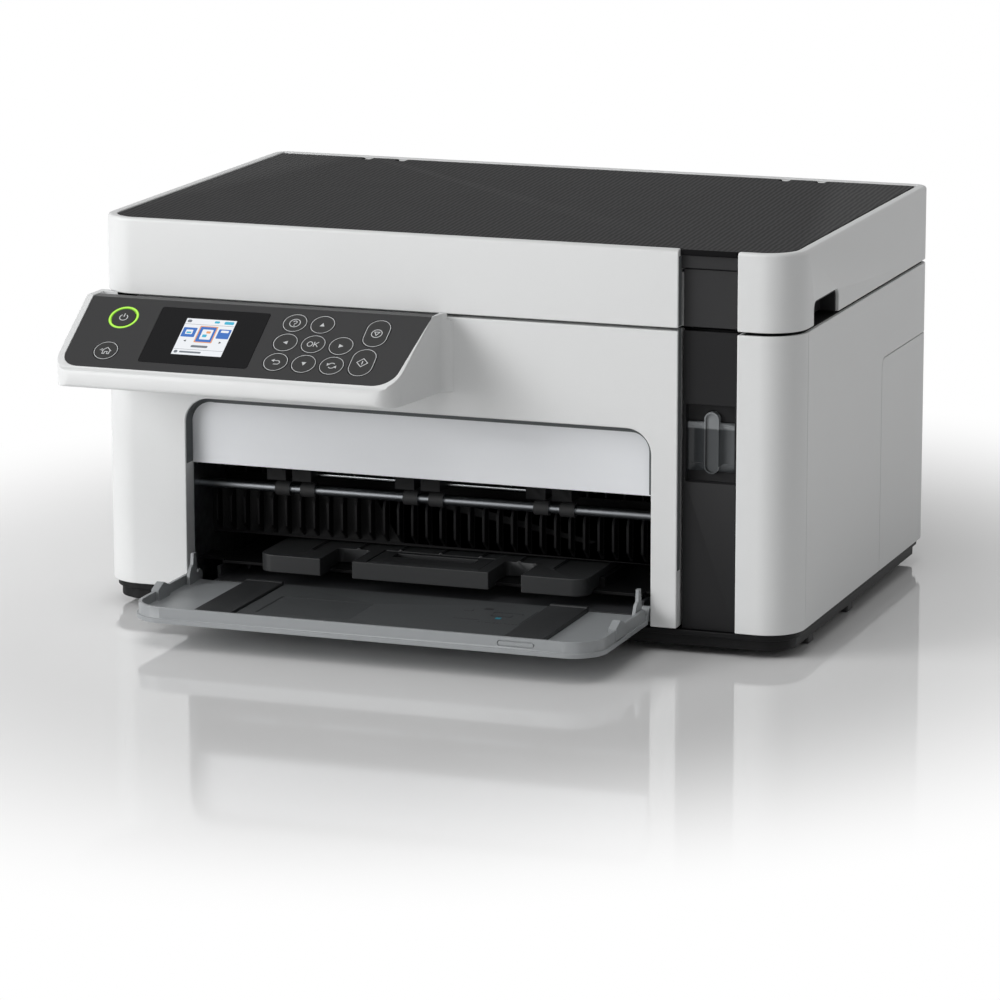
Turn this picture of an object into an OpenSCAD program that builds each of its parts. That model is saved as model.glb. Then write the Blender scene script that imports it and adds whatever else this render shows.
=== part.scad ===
// Flatbed multifunction ink-tank printer: a moulded body on a black plinth, a scanner unit that
// lifts on rear hinges, a document cover, a wedge-shaped control panel, a front cover that folds
// down over the paper tray, and the print mechanism behind the front opening.
// Distances called "back" are measured from the front face of the body towards the rear.

/* [Body] */
// Width across the side covers
body_w = 375; // [372:1:380]
// Depth from the front face to the rear face
body_d = 246; // [244:1:248]
// Height of the closed printer above the desk
body_h = 204.5; // [204:0.5:208]
// Radius of the two upright front corners
front_r = 20; // [17:1:22]
// Radius of the two upright rear corners
rear_r = 8; // [6:1:9]
// Wall of the moulded covers
wall = 2.2; // [1.8:0.1:2.4]
// Height of the lower edge of the covers
skirt_z = 12.6; // [12:0.1:13]
// Height of the lower edge of the scanner unit
lid_z = 165.1; // [165:0.1:166]
// Gap at the parting line below the scanner unit
lid_gap = 1.6; // [1.4:0.1:1.8]

/* [Front opening] */
// Left edge of the front recess
recess_x0 = -139; // [-140:0.5:-138]
// Right edge of the front recess
recess_x1 = 112.5; // [112:0.5:113]
// Top of the front recess
recess_z1 = 113; // [111:0.5:115]
// Radius of the upper corners of the recess
recess_r = 13; // [10:1:15]
// Depth of the recess in front of the fixed panel
recess_d = 8.5; // [8.5:0.1:9]
// Lower edge of the fixed panel, which is the top of the paper outlet
outlet_z1 = 77.4; // [77:0.1:78]
// Left edge of the black ink column
column_x0 = 126.2; // [126:0.1:126.4]
// Right edge of the black ink column
column_x1 = 156.7; // [156.5:0.1:157]

/* [Control panel] */
// How far the panel stands out in front of the body
panel_reach = 57.5; // [57:0.5:59]
// Slope of the operating face from the horizontal, in degrees
panel_tilt = 33.6; // [33:0.1:34]
// Height of the top of the panel
panel_z1 = 165.6; // [165.4:0.1:165.8]
// Height of the underside of the panel
panel_z0 = 125.2; // [124:0.1:126]
// Diameter of a round button cap
button_d = 12.9; // [12:0.1:12.9]
// Travel of the buttons
button_travel = 0.6; // [0.4:0.1:0.8]

/* [Paper path] */
// Across position of the middle of the paper
paper_x = -13.25; // [-13.5:0.25:-13]
// Width of the largest sheet
paper_w = 210; // [210:1:216]
// Height of the sheet where it leaves the rollers
paper_z = 66.2; // [66:0.1:66.4]
// How far the open front cover reaches in front of the body
cover_reach = 80; // [76:1:84]

/* [Gears] */
// Module of the roller gears
gear_m = 1; // [1:1:1]
// Teeth of the output roller gear
output_teeth = 35; // [35:1:35]
// Teeth of the idler gear
idler_teeth = 57; // [57:1:57]
// Teeth of the feed roller gear
feed_teeth = 35; // [35:1:35]
// Teeth of the motor pinion
pinion_teeth = 14; // [14:1:14]

/* [Hidden] */
$fn = 64;
eps = 0.01;
white = "#dadbdb";
shade_white = "#c5c7ca";
black = "#262626";
dark_grey = "#3a3a3a";
mid_grey = "#9a9d9e";
steel = "#b4b8bc";
rubber_black = "#1a1a1a";

half_w = body_w / 2;
body_top = lid_z - lid_gap;
hinge_reach = 2.7;
rear_reach = body_d + hinge_reach;
// The origin is the middle of the whole outline on the desk, with the front cover open
front_y = (cover_reach - rear_reach) / 2;

// ---- Shared shapes ------------------------------------------------------------------------

// Everything is drawn from the front face and shifted once to the origin
module from_front() {
    translate([0, front_y, 0]) children();
}

// A profile in y and z, carried along x from x0 to x1
module along_x(x0, x1) {
    translate([x0, 0, 0]) rotate([90, 0, 90]) linear_extrude(x1 - x0) children();
}

// A profile in x and z, carried back from y0 to y1
module along_y(y0, y1) {
    translate([0, y1, 0]) rotate([90, 0, 0]) linear_extrude(y1 - y0) children();
}

// A plan outline, raised from z0 to z1
module upright(z0, z1) {
    translate([0, 0, z0]) linear_extrude(z1 - z0) children();
}

module box(low, high) {
    translate(low) cube(high - low);
}

// What a round of radius r leaves over in a square corner at the origin
module corner_trim(r) {
    difference() {
        translate([-1, -1]) square(r + 1);
        translate([r, r]) circle(r);
    }
}

// A rectangle with its own radius at each corner, counted from the low corner anticlockwise
module rounded_rect(low, high, radii) {
    corners = [low, [high[0], low[1]], high, [low[0], high[1]]];
    difference() {
        translate(low) square(high - low);
        for (i = [0:3]) {
            if (radii[i] > 0) translate(corners[i]) rotate(90 * i) corner_trim(radii[i]);
        }
    }
}

// A slot with round ends, centred, its long side along the second axis
module obround(width, length) {
    for (side = [-1, 1]) translate([0, side * (length - width) / 2]) circle(width / 2);
    square([width, length - width], center = true);
}

// A cylinder along x
module rod_x(x0, x1, y, z, r) {
    translate([x0, y, z]) rotate([0, 90, 0]) cylinder(h = x1 - x0, r = r);
}

// A cylinder along y
module rod_y(y0, y1, x, z, r) {
    translate([x, y0, z]) rotate([-90, 0, 0]) cylinder(h = y1 - y0, r = r);
}

// Plan of the body, set in from its outer face
module body_outline(inset = 0) {
    rounded_rect([-half_w + inset, inset], [half_w - inset, body_d - inset],
        [front_r - inset, front_r - inset, rear_r - inset, rear_r - inset]);
}

// Upright band that follows the body's plan between two insets
module body_band(z0, z1, outer, inner) {
    upright(z0, z1) difference() {
        body_outline(outer);
        body_outline(inner);
    }
}

// A closed block with the body's plan corners and a round of radius edge along its top
module soft_block(z0, z1, edge) {
    h = z1 - z0;
    module side_profile(length) rounded_rect([0, 0], [length, h], [0, 0, edge, edge]);
    module corner(r) rotate_extrude() rounded_rect([0, 0], [r, h], [0, 0, edge, 0]);
    translate([-half_w, 0, z0]) {
        along_x(front_r, body_w - front_r) side_profile(body_d);
        along_y(front_r, body_d - rear_r) side_profile(body_w);
        translate([0, front_r, 0]) along_x(rear_r, body_w - rear_r) side_profile(body_d - front_r);
        for (x = [front_r, body_w - front_r]) translate([x, front_r, 0]) corner(front_r);
        for (x = [rear_r, body_w - rear_r]) translate([x, body_d - rear_r, 0]) corner(rear_r);
    }
}

// ---- Plinth -------------------------------------------------------------------------------

foot_h = 3.6;
plinth_inset = 4.2;
tongue_inset = wall + 0.05;
pan_floor = 2.5;
pan_top = foot_h + pan_floor;
foot_places = [[-158, 30], [158, 30], [-158, 214], [158, 214]];
peg_places = [[-181, 46], [181, 46], [-181, 118], [181, 118]];

module base_pan() {
    color(black) from_front() difference() {
        union() {
            upright(foot_h, foot_h + pan_floor) body_outline(plinth_inset);
            body_band(foot_h, skirt_z - 2, plinth_inset, plinth_inset + 3);
            difference() {
                body_band(skirt_z - 3.5, skirt_z + 8, tongue_inset, tongue_inset + 2);
                box([recess_x0 - 2.5, -1, skirt_z - 0.8], [column_x1 + 2.5, 40, skirt_z + 9]);
            }
            body_band(skirt_z - 3.5, skirt_z - 1.6, tongue_inset, plinth_inset + 3);
            for (x = [-100, -40, 20, 80]) {
                box([x, 10, pan_top - eps], [x + 2, 180, tray_floor_z - 2]);
            }
        }
        for (i = [0:13]) box([-60 + 8 * i, 200, foot_h - 1], [-57 + 8 * i, 228, foot_h + pan_floor + 1]);
    }
}

module feet() {
    color(rubber_black) from_front() {
        for (p = foot_places) translate([p[0], p[1], 0]) {
            rotate_extrude() rounded_rect([0, 0], [9, foot_h], [0, 1.2, 0, 0]);
        }
        for (p = peg_places) upright(0, foot_h) {
            rounded_rect([p[0] - 2, p[1] - 5], [p[0] + 2, p[1] + 5], [1, 1, 1, 1]);
        }
    }
}

// ---- Covers -------------------------------------------------------------------------------

seam = 0.3;
front_seam = 20;
rear_seam = 156.5;
rear_seam_z = 125.6;
rear_wrap = half_w - rear_r - 2;
return_d = 12;
hinge_axis_y = 245.5;
hinge_axis_z = lid_z - lid_gap / 2;
knuckle_r = 3.2;
knuckle_mid = [110.3, 123.7];
knuckle_zone = [98, 136];
cover_hinge_y = 4.5;
cover_hinge_z = 18;
cover_pin_r = 2;

module recess_outline(grow, z0) {
    rounded_rect([recess_x0 - grow, z0], [recess_x1 + grow, recess_z1 + grow],
        [0, 0, recess_r + grow, recess_r + grow]);
}

module front_frame() {
    rim = 1.8;
    color(white) from_front() difference() {
        union() {
            intersection() {
                body_band(skirt_z, body_top, 0, wall);
                box([-half_w - 1, -1, 0], [column_x0, front_seam - seam / 2, body_h]);
            }
            along_y(eps, recess_d + wall) recess_outline(rim, skirt_z);
            box([column_x0 - rim, eps, skirt_z], [column_x0, return_d, body_top]);
            box([-half_w + front_r, wall - eps, body_top - 2], [column_x0 - eps, 9, body_top]);
        }
        along_y(-1, recess_d + wall + 1) recess_outline(0, skirt_z - 1);
        rod_x(recess_x0 - 5, recess_x1 + 5, cover_hinge_y, cover_hinge_z, cover_pin_r + 0.05);
    }
}

module recess_panel() {
    fit = 0.1;
    front = recess_d;
    color(shade_white) from_front() {
        along_y(front, front + wall) intersection() {
            recess_outline(-fit, skirt_z);
            translate([-half_w, outlet_z1]) square([body_w, recess_z1]);
        }
        box([recess_x0 + fit, front, outlet_z1], [recess_x1 - fit, 16, outlet_z1 + 1.8]);
        for (i = [0:6]) {
            x = recess_x0 + 12 + i * 38;
            box([x, front + wall - eps, outlet_z1 + 1.7], [x + 1.4, 15, outlet_z1 + 12]);
        }
    }
}

module right_corner_cover() {
    color(white) from_front() {
        intersection() {
            body_band(skirt_z, body_top, 0, wall);
            box([column_x1, -1, 0], [half_w + 1, front_seam - seam / 2, body_h]);
        }
        box([column_x1, 1, skirt_z], [column_x1 + 1.8, return_d, body_top]);
    }
}

// Outline, in y and z, of the separate cover at the lower rear of the right side
module rear_corner_outline(grow) {
    rounded_rect([rear_seam - grow, skirt_z - 2], [body_d + 2, rear_seam_z + grow],
        [0, 0, 0, 5 + grow]);
}

module side_band(z0, z1) {
    intersection() {
        body_band(z0, z1, 0, wall);
        union() {
            box([half_w - 12, front_seam + seam / 2, 0], [half_w + 1, body_d - 4, body_h]);
            box([rear_wrap, body_d - 20, 0], [half_w + 1, body_d + 1, body_h]);
        }
    }
}

module right_side_cover() {
    color(white) from_front() difference() {
        side_band(skirt_z, body_top);
        along_x(half_w - 20, half_w + 5) rear_corner_outline(seam);
    }
}

module right_rear_cover() {
    color(white) from_front() intersection() {
        side_band(skirt_z, body_top);
        along_x(half_w - 20, half_w + 5) rear_corner_outline(0);
    }
}

module left_side_cover() {
    color(white) from_front() mirror([1, 0, 0]) side_band(skirt_z, body_top);
}

inlet_x = 146;
inlet_z = 34;
usb_x = -154;
usb_z = 104;
screw_places = [[-166, 24], [166, 24], [-166, 150], [166, 150], [-14, 24], [-14, 150]];

module rear_cover() {
    vent_rows = [70, 92, 114];
    color(white) from_front() difference() {
        union() {
            box([-rear_wrap + seam, body_d - wall, skirt_z], [rear_wrap - seam, body_d, body_top]);
            for (x = [-128, -96, -64, -32, 10]) {
                box([x, body_d - wall - 4, skirt_z + 17], [x + 1.6, body_d - wall + eps, body_top - 16]);
            }
        }
        for (side = [-1, 1]) translate([side * 117, body_d, body_top]) {
            cube([38, 16, 10.4], center = true);
        }
        for (z = vent_rows, i = [0:13]) along_y(body_d - 8, body_d + 1) {
            translate([40 + i * 7, z]) obround(3, 16);
        }
        box([inlet_x - 13.5, body_d - 8, inlet_z - 10], [inlet_x + 13.5, body_d + 1, inlet_z + 10]);
        box([usb_x - 8, body_d - 8, usb_z - 8], [usb_x + 8, body_d + 1, usb_z + 8]);
        for (p = screw_places) rod_y(body_d - 8, body_d + 1, p[0], p[1], 1.6);
    }
}

module screws() {
    color(steel) from_front() {
        for (p = screw_places) translate([p[0], body_d, p[1]]) rotate([-90, 0, 0]) difference() {
            union() {
                translate([0, 0, -9]) cylinder(h = 9.2, r = 1.5);
                rotate_extrude() rounded_rect([0, 0], [3.4, 1.9], [0, 0, 1.2, 0]);
            }
            for (a = [0, 90]) rotate(a) translate([-2, -0.4, 1]) cube([4, 0.8, 2]);
        }
    }
}

module upper_frame() {
    plate_z = body_top - 3.2;
    color(dark_grey) from_front() {
        difference() {
            union() {
                upright(plate_z, body_top - 0.1) body_outline(tongue_inset);
                body_band(plate_z - 12, plate_z + eps, tongue_inset, tongue_inset + 2);
            }
            upright(plate_z - 14, body_top + 1) {
                rounded_rect([-150, 54], [110, 206], [8, 8, 8, 8]);
                rounded_rect([column_x0 - 1, 20], [column_x1 + 3, 58], [4, 4, 4, 4]);
            }
            box([-half_w, -1, plate_z - 14], [column_x1 + 1.9, return_d + 0.1, body_top + 1]);
            for (side = [-1, 1]) {
                x = side * (knuckle_mid[0] + knuckle_mid[1]) / 2;
                box([x - 7.1, hinge_axis_y - 4, plate_z - 14], [x + 7.1, body_d + 1, body_top + 1]);
            }
            for (side = [-1, 1]) {
                x = side * (knuckle_zone[0] + knuckle_zone[1]) / 2;
                box([x - 19.2, body_d - 12, plate_z - 14], [x + 19.2, body_d + 1, plate_z]);
            }
            for (p = screw_places) if (p[1] > 100) rod_y(body_d - 12, body_d, p[0], p[1], 1.6);
        }
        for (side = [-1, 1], part = [[100, 110], [124, 134]]) {
            x0 = side > 0 ? part[0] : -part[1];
            x1 = side > 0 ? part[1] : -part[0];
            difference() {
                union() {
                    rod_x(x0, x1, hinge_axis_y, hinge_axis_z, knuckle_r);
                    box([x0, body_d - 10, plate_z], [x1, hinge_axis_y, body_top - 0.1]);
                }
                if (part[0] == 100) rod_x(x0 - 1, x1 + 1, hinge_axis_y, hinge_axis_z, 1.5 - 0.2);
            }
        }
        for (side = [-1, 1]) {
            rod_x(side > 0 ? 109 : -125, side > 0 ? 125 : -109, hinge_axis_y, hinge_axis_z, 1.5);
        }
    }
}

// ---- Ink column and tank ------------------------------------------------------------------

column_back = 5.5;
column_play = 1.1;
window_z = [87, 126.3];
tank_window_z = [92.3, 117.1];
sight_x = 141.6;
sight_z = 106.9;
tank_low = [124, 12, 62];
tank_high = [158.6, 57, 148];

module column_cover() {
    x0 = column_x0 + column_play;
    x1 = column_x1 - column_play;
    back = 12;
    color(black) from_front() difference() {
        union() {
            box([x0, column_back, skirt_z - 1], [x1, column_back + 2, body_top - 0.3]);
            for (x = [x0, x1 - 1.4]) box([x, column_back, skirt_z - 1], [x + 1.4, back, body_top - 0.3]);
            box([x0, column_back, window_z[0] - 1.6], [x1, back, window_z[0]]);
            box([x0, column_back, window_z[1]], [x1, back, window_z[1] + 1.6]);
            box([x0, back - 1.6, window_z[0]], [x1, back, window_z[1]]);
        }
        box([x0 + 1.4, column_back - 1, window_z[0]], [x1 - 1.4, back - 1.6, window_z[1]]);
        box([x0 + 1.4, back - 2, tank_window_z[0]], [x1 - 1.4, back + 1, tank_window_z[1]]);
        along_y(back - 2, back + 1) translate([sight_x, sight_z]) obround(7.8, 31.6);
    }
}

module ink_tank() {
    t = 1.6;
    skin = [t, t, t];
    neck = [(tank_low[0] + tank_high[0]) / 2, 40];
    color("#8f9496", 0.6) from_front() difference() {
        union() {
            upright(tank_low[2], tank_high[2]) {
                rounded_rect([tank_low[0], tank_low[1]], [tank_high[0], tank_high[1]], [3, 3, 3, 3]);
            }
            box([column_x0 + 2.7, 8.6, tank_window_z[0] + 0.2],
                [column_x1 - 2.7, tank_low[1] + 0.1, tank_window_z[1] - 0.2]);
            along_y(7.4, tank_low[1] + 0.1) translate([sight_x, sight_z]) obround(7.5, 31.2);
            translate([neck[0], neck[1], tank_high[2] - 0.1]) cylinder(h = 6, r = 7);
        }
        upright(tank_low[2] + t, tank_high[2] - t) {
            rounded_rect([tank_low[0] + t, tank_low[1] + t], [tank_high[0] - t, tank_high[1] - t],
                [2, 2, 2, 2]);
        }
        translate([neck[0], neck[1], tank_high[2] - 4]) cylinder(h = 12, r = 5);
        along_y(7, 8.5) translate([sight_x, sight_z]) obround(6.1, 29.8);
        for (z = [96.4, 115]) box([131, 8.2, z - 0.3], [136.4, 8.8, z + 0.3]);
        for (z = [96.4, 115]) box([147.4, 8.2, z - 0.3], [152.6, 8.8, z + 0.3]);
    }
}

module tank_cap() {
    neck = [(tank_low[0] + tank_high[0]) / 2, 40];
    rim_z = tank_high[2] + 5.9;
    color(rubber_black) from_front() {
        translate([neck[0], neck[1], rim_z - 4]) cylinder(h = 4.1, r = 4.95);
        translate([neck[0], neck[1], rim_z]) rotate_extrude() {
            rounded_rect([0, 0], [8.6, 4], [0, 0, 1, 0]);
        }
        box([neck[0] - 3, neck[1] - 14, rim_z + 0.6], [neck[0] + 3, neck[1], rim_z + 3]);
    }
}

// ---- Control panel ------------------------------------------------------------------------

face_y = -11.5;
face_z = 165.1;
face_len = 51;
face_t = 2;
face_left = -184;
face_right = 1;
face_slant = 4.8;
cap_gap = 0.3;
stem_len = 6;
board_z = [-12.8, -11.4];
switch_z = -face_t - 1 - stem_len - button_travel - 0.05;
bezel_low = [-143.4, 4.6];
bezel_high = [-84, 45];
lcd_low = [-127.6, 11.8];
lcd_high = [-100.3, 37.9];
ring_out = 7.95;
ring_in = 6.7;
// Places on the sloping face: across, down the slope, and length of the cap
power_at = [-162, 14.2, 0];
home_at = [-163, 38.7, 0];
help_at = [-69.3, 10.4, 0];
up_at = [-54.3, 10.4, 0];
left_at = [-69.8, 24.6, 0];
ok_at = [-54.8, 24.6, 0];
right_at = [-39.8, 24.6, 0];
back_at = [-70.3, 38.8, 0];
down_at = [-55.3, 38.8, 0];
cycle_at = [-40.3, 38.8, 0];
stop_at = [-24, 14.2, 19.4];
start_at = [-25, 35.3, 19.4];
button_places = [power_at, home_at, help_at, up_at, left_at, ok_at, right_at, back_at, down_at,
    cycle_at, stop_at, start_at];

// Points of an arc about a centre
function arc_points(c, r, a0, a1, n) =
    [for (i = [0:n]) c + r * [cos(a0 + (a1 - a0) * i / n), sin(a0 + (a1 - a0) * i / n)]];

// Puts the children on the sloping face: x across, y up the slope, z out of it
module on_face() {
    translate([0, face_y, face_z]) rotate([panel_tilt, 0, 0]) children();
}

module cap_outline(place, grow) {
    if (place[2] > 0) obround(button_d + 2 * grow, place[2] + 2 * grow);
    else circle(button_d / 2 + grow);
}

// Outline of the black face on the slope, set in by play; it runs on past the top of the slope
module face_outline(play) {
    r_left = 9;
    r_right = 12;
    bottom = -face_len + play;
    left = face_left + play;
    low_right = face_right - face_slant - play;
    polygon(concat([[left, 30]],
        arc_points([left + r_left, bottom + r_left], r_left, 180, 270, 10),
        arc_points([low_right - r_right, bottom + r_right], r_right, 270, 355, 10),
        [[face_right - play, -2], [face_right - play, 30]]));
}

// A point in y and z, so far down the slope and so far out of it
function on_slope(down, out) = [face_y - down * cos(panel_tilt) - out * sin(panel_tilt),
    face_z - down * sin(panel_tilt) + out * cos(panel_tilt)];

// A sheet between two heights over the slope that bends level at the top and runs back to y
module face_sheet(low, high, back, play) {
    bend = tan(panel_tilt / 2);
    intersection() {
        along_x(face_left - 5, face_right + 5) polygon([[back, face_z + high],
            [face_y - high * bend, face_z + high], on_slope(face_len + 10, high),
            on_slope(face_len + 10, low), [face_y - low * bend, face_z + low], [back, face_z + low]]);
        on_face() upright(-15, 15) face_outline(play);
    }
}

// Plan of the housing, from its left end to the flare that runs into the front
module housing_plan() {
    front = -panel_reach;
    r_left = 11;
    r_right = 14;
    flare = 6;
    right_low = -1.7;
    right_high = 2.2;
    wrap_y = 6;
    polygon(concat([[-half_w, wrap_y]],
        arc_points([-half_w + r_left, front + r_left], r_left, 180, 270, 12),
        arc_points([right_low - r_right, front + r_right], r_right, 270, 355, 12),
        arc_points([right_high + flare, -flare], flare, 180, 90, 8),
        [[right_high + flare, wrap_y]]));
}

// Side view of the housing: flat top, sloping face, rounded nose, and a nearly flat underside
module housing_profile() {
    nose = 3.2;
    nose_top = 134.6;
    polygon(concat([[front_r, panel_z0], [0, panel_z0], [-panel_reach + nose, panel_z0 + 0.9]],
        arc_points([-panel_reach + nose, panel_z0 + 0.9 + nose], nose, 260, 180, 6),
        [[-panel_reach, nose_top - 1.4], [-panel_reach + 0.9, nose_top + 0.5]],
        [[-panel_reach + 3, nose_top + 1.6]],
        [[face_y - face_len * cos(panel_tilt), face_z - face_len * sin(panel_tilt) + 0.2]],
        [[face_y, panel_z1], [front_r, panel_z1]]));
}

module panel_housing() {
    color(white) from_front() difference() {
        intersection() {
            upright(panel_z0 - 1, panel_z1 + 1) difference() {
                housing_plan();
                body_outline(0);
            }
            along_x(-half_w - 1, 20) housing_profile();
        }
        upright(body_top - 1.4, panel_z1 + 1) body_outline(-0.8);
        face_sheet(-face_t, 8, 1, 0);
        on_face() box([face_left + 4, -face_len + 5, board_z[0]], [face_right - face_slant - 5, -3, 0]);
        for (i = [0:4]) along_x(face_left + 8 + i * 34, face_left + 40 + i * 34) {
            polygon([[-3, panel_z0 + 3], [-41, panel_z0 + 3.7], [-16, 147], [-8, 155], [-3, 155]]);
        }
    }
}

module panel_face() {
    color(dark_grey) from_front() difference() {
        face_sheet(-face_t + 0.05, 0, -4, 0.1);
        for (p = button_places) on_face() translate([p[0], -p[1], 0]) {
            if (p == power_at) cylinder(h = 8, r = ring_out + 0.05, center = true);
            else upright(-4, 4) cap_outline(p, cap_gap);
        }
        on_face() upright(-4, 4) {
            rounded_rect([bezel_low[0], -bezel_high[1]], [bezel_high[0], -bezel_low[1]],
                [1.5, 1.5, 1.5, 1.5]);
        }
    }
}

module screen_window() {
    gap = 0.08;
    color("#101114") from_front() on_face() upright(-1.6, 0) {
        rounded_rect([bezel_low[0] + gap, -bezel_high[1] + gap],
            [bezel_high[0] - gap, -bezel_low[1] - gap], [1.4, 1.4, 1.4, 1.4]);
    }
}

module display() {
    frame_w = 4;
    color("#d5dce6") from_front() on_face() {
        box([lcd_low[0] - frame_w, -lcd_high[1] - frame_w, -4.6],
            [lcd_high[0] + frame_w, -lcd_low[1] + frame_w, -1.62]);
    }
    color("#2f6b3a") from_front() on_face() {
        box([face_left + 8, -face_len + 6, board_z[0]], [face_right - face_slant - 8, -4, board_z[1]]);
        box([lcd_low[0] - 2, -lcd_high[1] - 2, board_z[1] - eps], [lcd_high[0] + 2, -lcd_low[1] + 2,
            -4.6]);
        for (p = button_places) translate([p[0], -p[1], 0]) {
            box([-3, -3, board_z[1] - eps], [3, 3, board_z[1] + 0.9]);
            upright(board_z[1], switch_z) circle(1.7);
        }
    }
}

module power_ring() {
    color("#9be84a") from_front() on_face() translate([power_at[0], -power_at[1], 0]) {
        difference() {
            upright(board_z[1], 0) circle(ring_out);
            upright(board_z[1] - 1, 1) circle(ring_in);
            upright(board_z[1] - 1, -face_t) circle(ring_in + 0.6);
        }
    }
}

// A cap flush with the face, a flange that keeps it in, and a stem that meets its switch
module panel_button(place) {
    flange_t = 1;
    flange_z = -face_t - flange_t;
    color(dark_grey) from_front() on_face() translate([place[0], -place[1], 0]) {
        upright(flange_z, -0.02) cap_outline(place, place == power_at ? -0.15 : 0);
        upright(flange_z, -face_t - 0.02) cap_outline(place, 0.5);
        translate([0, 0, flange_z - stem_len]) cylinder(h = stem_len + eps, r = 1.6);
    }
}

// ---- Front cover and trays ----------------------------------------------------------------

cover_x0 = recess_x0 + 0.6;
cover_x1 = recess_x1 - 1;
cover_z0 = 13.6;
cover_floor = 3.4;
cover_rim_z = 21.7;
cover_r = 18;
arm_x = [106.6, 108.4];
cover_ledge = [2.3, 1];

module cover_outline(inset) {
    rounded_rect([cover_x0 + inset, -cover_reach + inset], [cover_x1 - inset, 3],
        [cover_r - inset, cover_r - inset, 0, 0]);
}

// Side view of the stop arm at each rear corner of the cover
module stop_arm_profile() {
    polygon([[-11, 16], [2.5, 16], [2.5, 20], [-0.4, 21.5], [-1.2, 26], [-2, 32.4], [-5.2, 32.4],
        [-5.8, 26.6], [-8.8, 25], [-10.8, 21.2]]);
}

// Side view of the snap that straddles each side rim
module latch_profile() {
    polygon([[-48.6, 16.4], [-48.6, 22.6], [-41.5, 25.4], [-35, 22.8], [-34, 16.4]]);
}

module front_cover() {
    rim = 1.8;
    color(mid_grey) from_front() difference() {
        union() {
            for (step = [[0, cover_ledge[0], 0], [1, cover_floor, cover_ledge[1]]]) {
                upright(cover_z0 + step[0], cover_z0 + step[1]) difference() {
                    cover_outline(step[2]);
                    for (x = [cover_x0, cover_x1]) {
                        translate([x - 5, 0.4]) square([10, 10]);
                    }
                }
            }
            upright(cover_z0 + 1, cover_rim_z) difference() {
                cover_outline(cover_ledge[1]);
                cover_outline(cover_ledge[1] + rim);
                translate([cover_x0 - 1, -1.6]) square([body_w, 20]);
            }
            for (x = [[cover_x0, cover_x0 + 4.4], [cover_x1 - 4.4, cover_x1]]) {
                rod_x(x[0], x[1], cover_hinge_y, cover_hinge_z, 4);
                box([x[0], -2, cover_z0 + 1], [x[1], cover_hinge_y, cover_hinge_z]);
            }
            rod_x(cover_x0 - 1.9, cover_x0 + eps, cover_hinge_y, cover_hinge_z, cover_pin_r);
            rod_x(cover_x1 - eps, cover_x1 + 2.6, cover_hinge_y, cover_hinge_z, cover_pin_r);
            along_x(arm_x[0], arm_x[1]) stop_arm_profile();
            along_x(2 * paper_x - arm_x[1], 2 * paper_x - arm_x[0]) stop_arm_profile();
            along_x(cover_x1 - 4.6, cover_x1 - 0.4) latch_profile();
            along_x(cover_x0 + 0.4, cover_x0 + 4.6) latch_profile();
        }
        along_y(-cover_reach - 1, -cover_reach + cover_ledge[1] + 0.5) {
            translate([69.5, 18.4]) rotate(90) difference() {
                obround(3, 19.4);
                obround(2, 18.4);
            }
        }
    }
}

insert_z = 19.4;
strip_x = [59.5, 79.5];
plate_y = [-74, 1];

module cover_inserts() {
    strip_y = [-77.1, 2];
    color(dark_grey) from_front() {
        difference() {
            box([2 * paper_x - strip_x[0] + 1, plate_y[0], cover_z0 + cover_floor],
                [strip_x[0] - 1, plate_y[1], insert_z - 0.8]);
            box([-76, -60, insert_z - 1.2], [-26, -24, insert_z]);
        }
        for (x = [strip_x[0], 2 * paper_x - strip_x[1]]) {
            box([x, strip_y[0], cover_z0 + cover_floor], [x + 20, strip_y[1], insert_z]);
            box([x, strip_y[1] - 2.6, insert_z - eps], [x + 20, strip_y[1], insert_z + 0.6]);
        }
    }
}

tray_floor_z = 16;
guide_top = 22;
tray_low = [-128, 9];
tray_high = [101.5, 188];

module paper_tray() {
    color(mid_grey) from_front() difference() {
        union() {
            box([tray_low[0], tray_low[1], tray_floor_z - 2], [tray_high[0], tray_high[1], tray_floor_z]);
            for (x = [tray_low[0] - 2, tray_high[0]]) {
                box([x, tray_low[1] + 9, tray_floor_z - 2], [x + 2, tray_high[1], tray_floor_z + 5]);
            }
            box([tray_low[0] - 2, tray_high[1], tray_floor_z - 2],
                [tray_high[0] + 2, tray_high[1] + 2, tray_floor_z + 5]);
        }
        for (y = [60, 100]) box([-100, y, tray_floor_z - 3], [-40, y + 3, tray_floor_z + 1]);
        for (y = [60, 100]) box([14, y, tray_floor_z - 3], [74, y + 3, tray_floor_z + 1]);
    }
}

// Upright fence of one edge guide, with its foot and finger tab; side is 1 on the right
module edge_guide(side) {
    inner = paper_w / 2 + 0.6;
    color(dark_grey) from_front() translate([paper_x, 0, 0]) mirror([side > 0 ? 0 : 1, 0, 0]) {
        box([inner, 36, tray_floor_z + 0.3], [inner + 1.8, 122, guide_top]);
        box([inner + 1.7, 44, tray_floor_z + 0.3], [inner + 7, 114, tray_floor_z + 1.6]);
        for (y = [50, 78, 106]) along_y(y, y + 1.6) {
            polygon([[inner + 1.7, tray_floor_z + 1.5], [inner + 6, tray_floor_z + 1.5],
                [inner + 1.7, guide_top - 1]]);
        }
    }
}

out_low = [-102.5, 7];
out_high = [76, 156];
// Finger slots on both sides of the stopper, from the tray's middle line
slot_from_middle = [37.2, 54.6];
out_z0 = 22.8;
out_z1 = 32;
deck_z = [22.4, 24];
deck_y = [20, 168];
stopper_x = [-43, 17];
stopper_y = [12, 37];
stopper_axis_z = 30.2;

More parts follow.
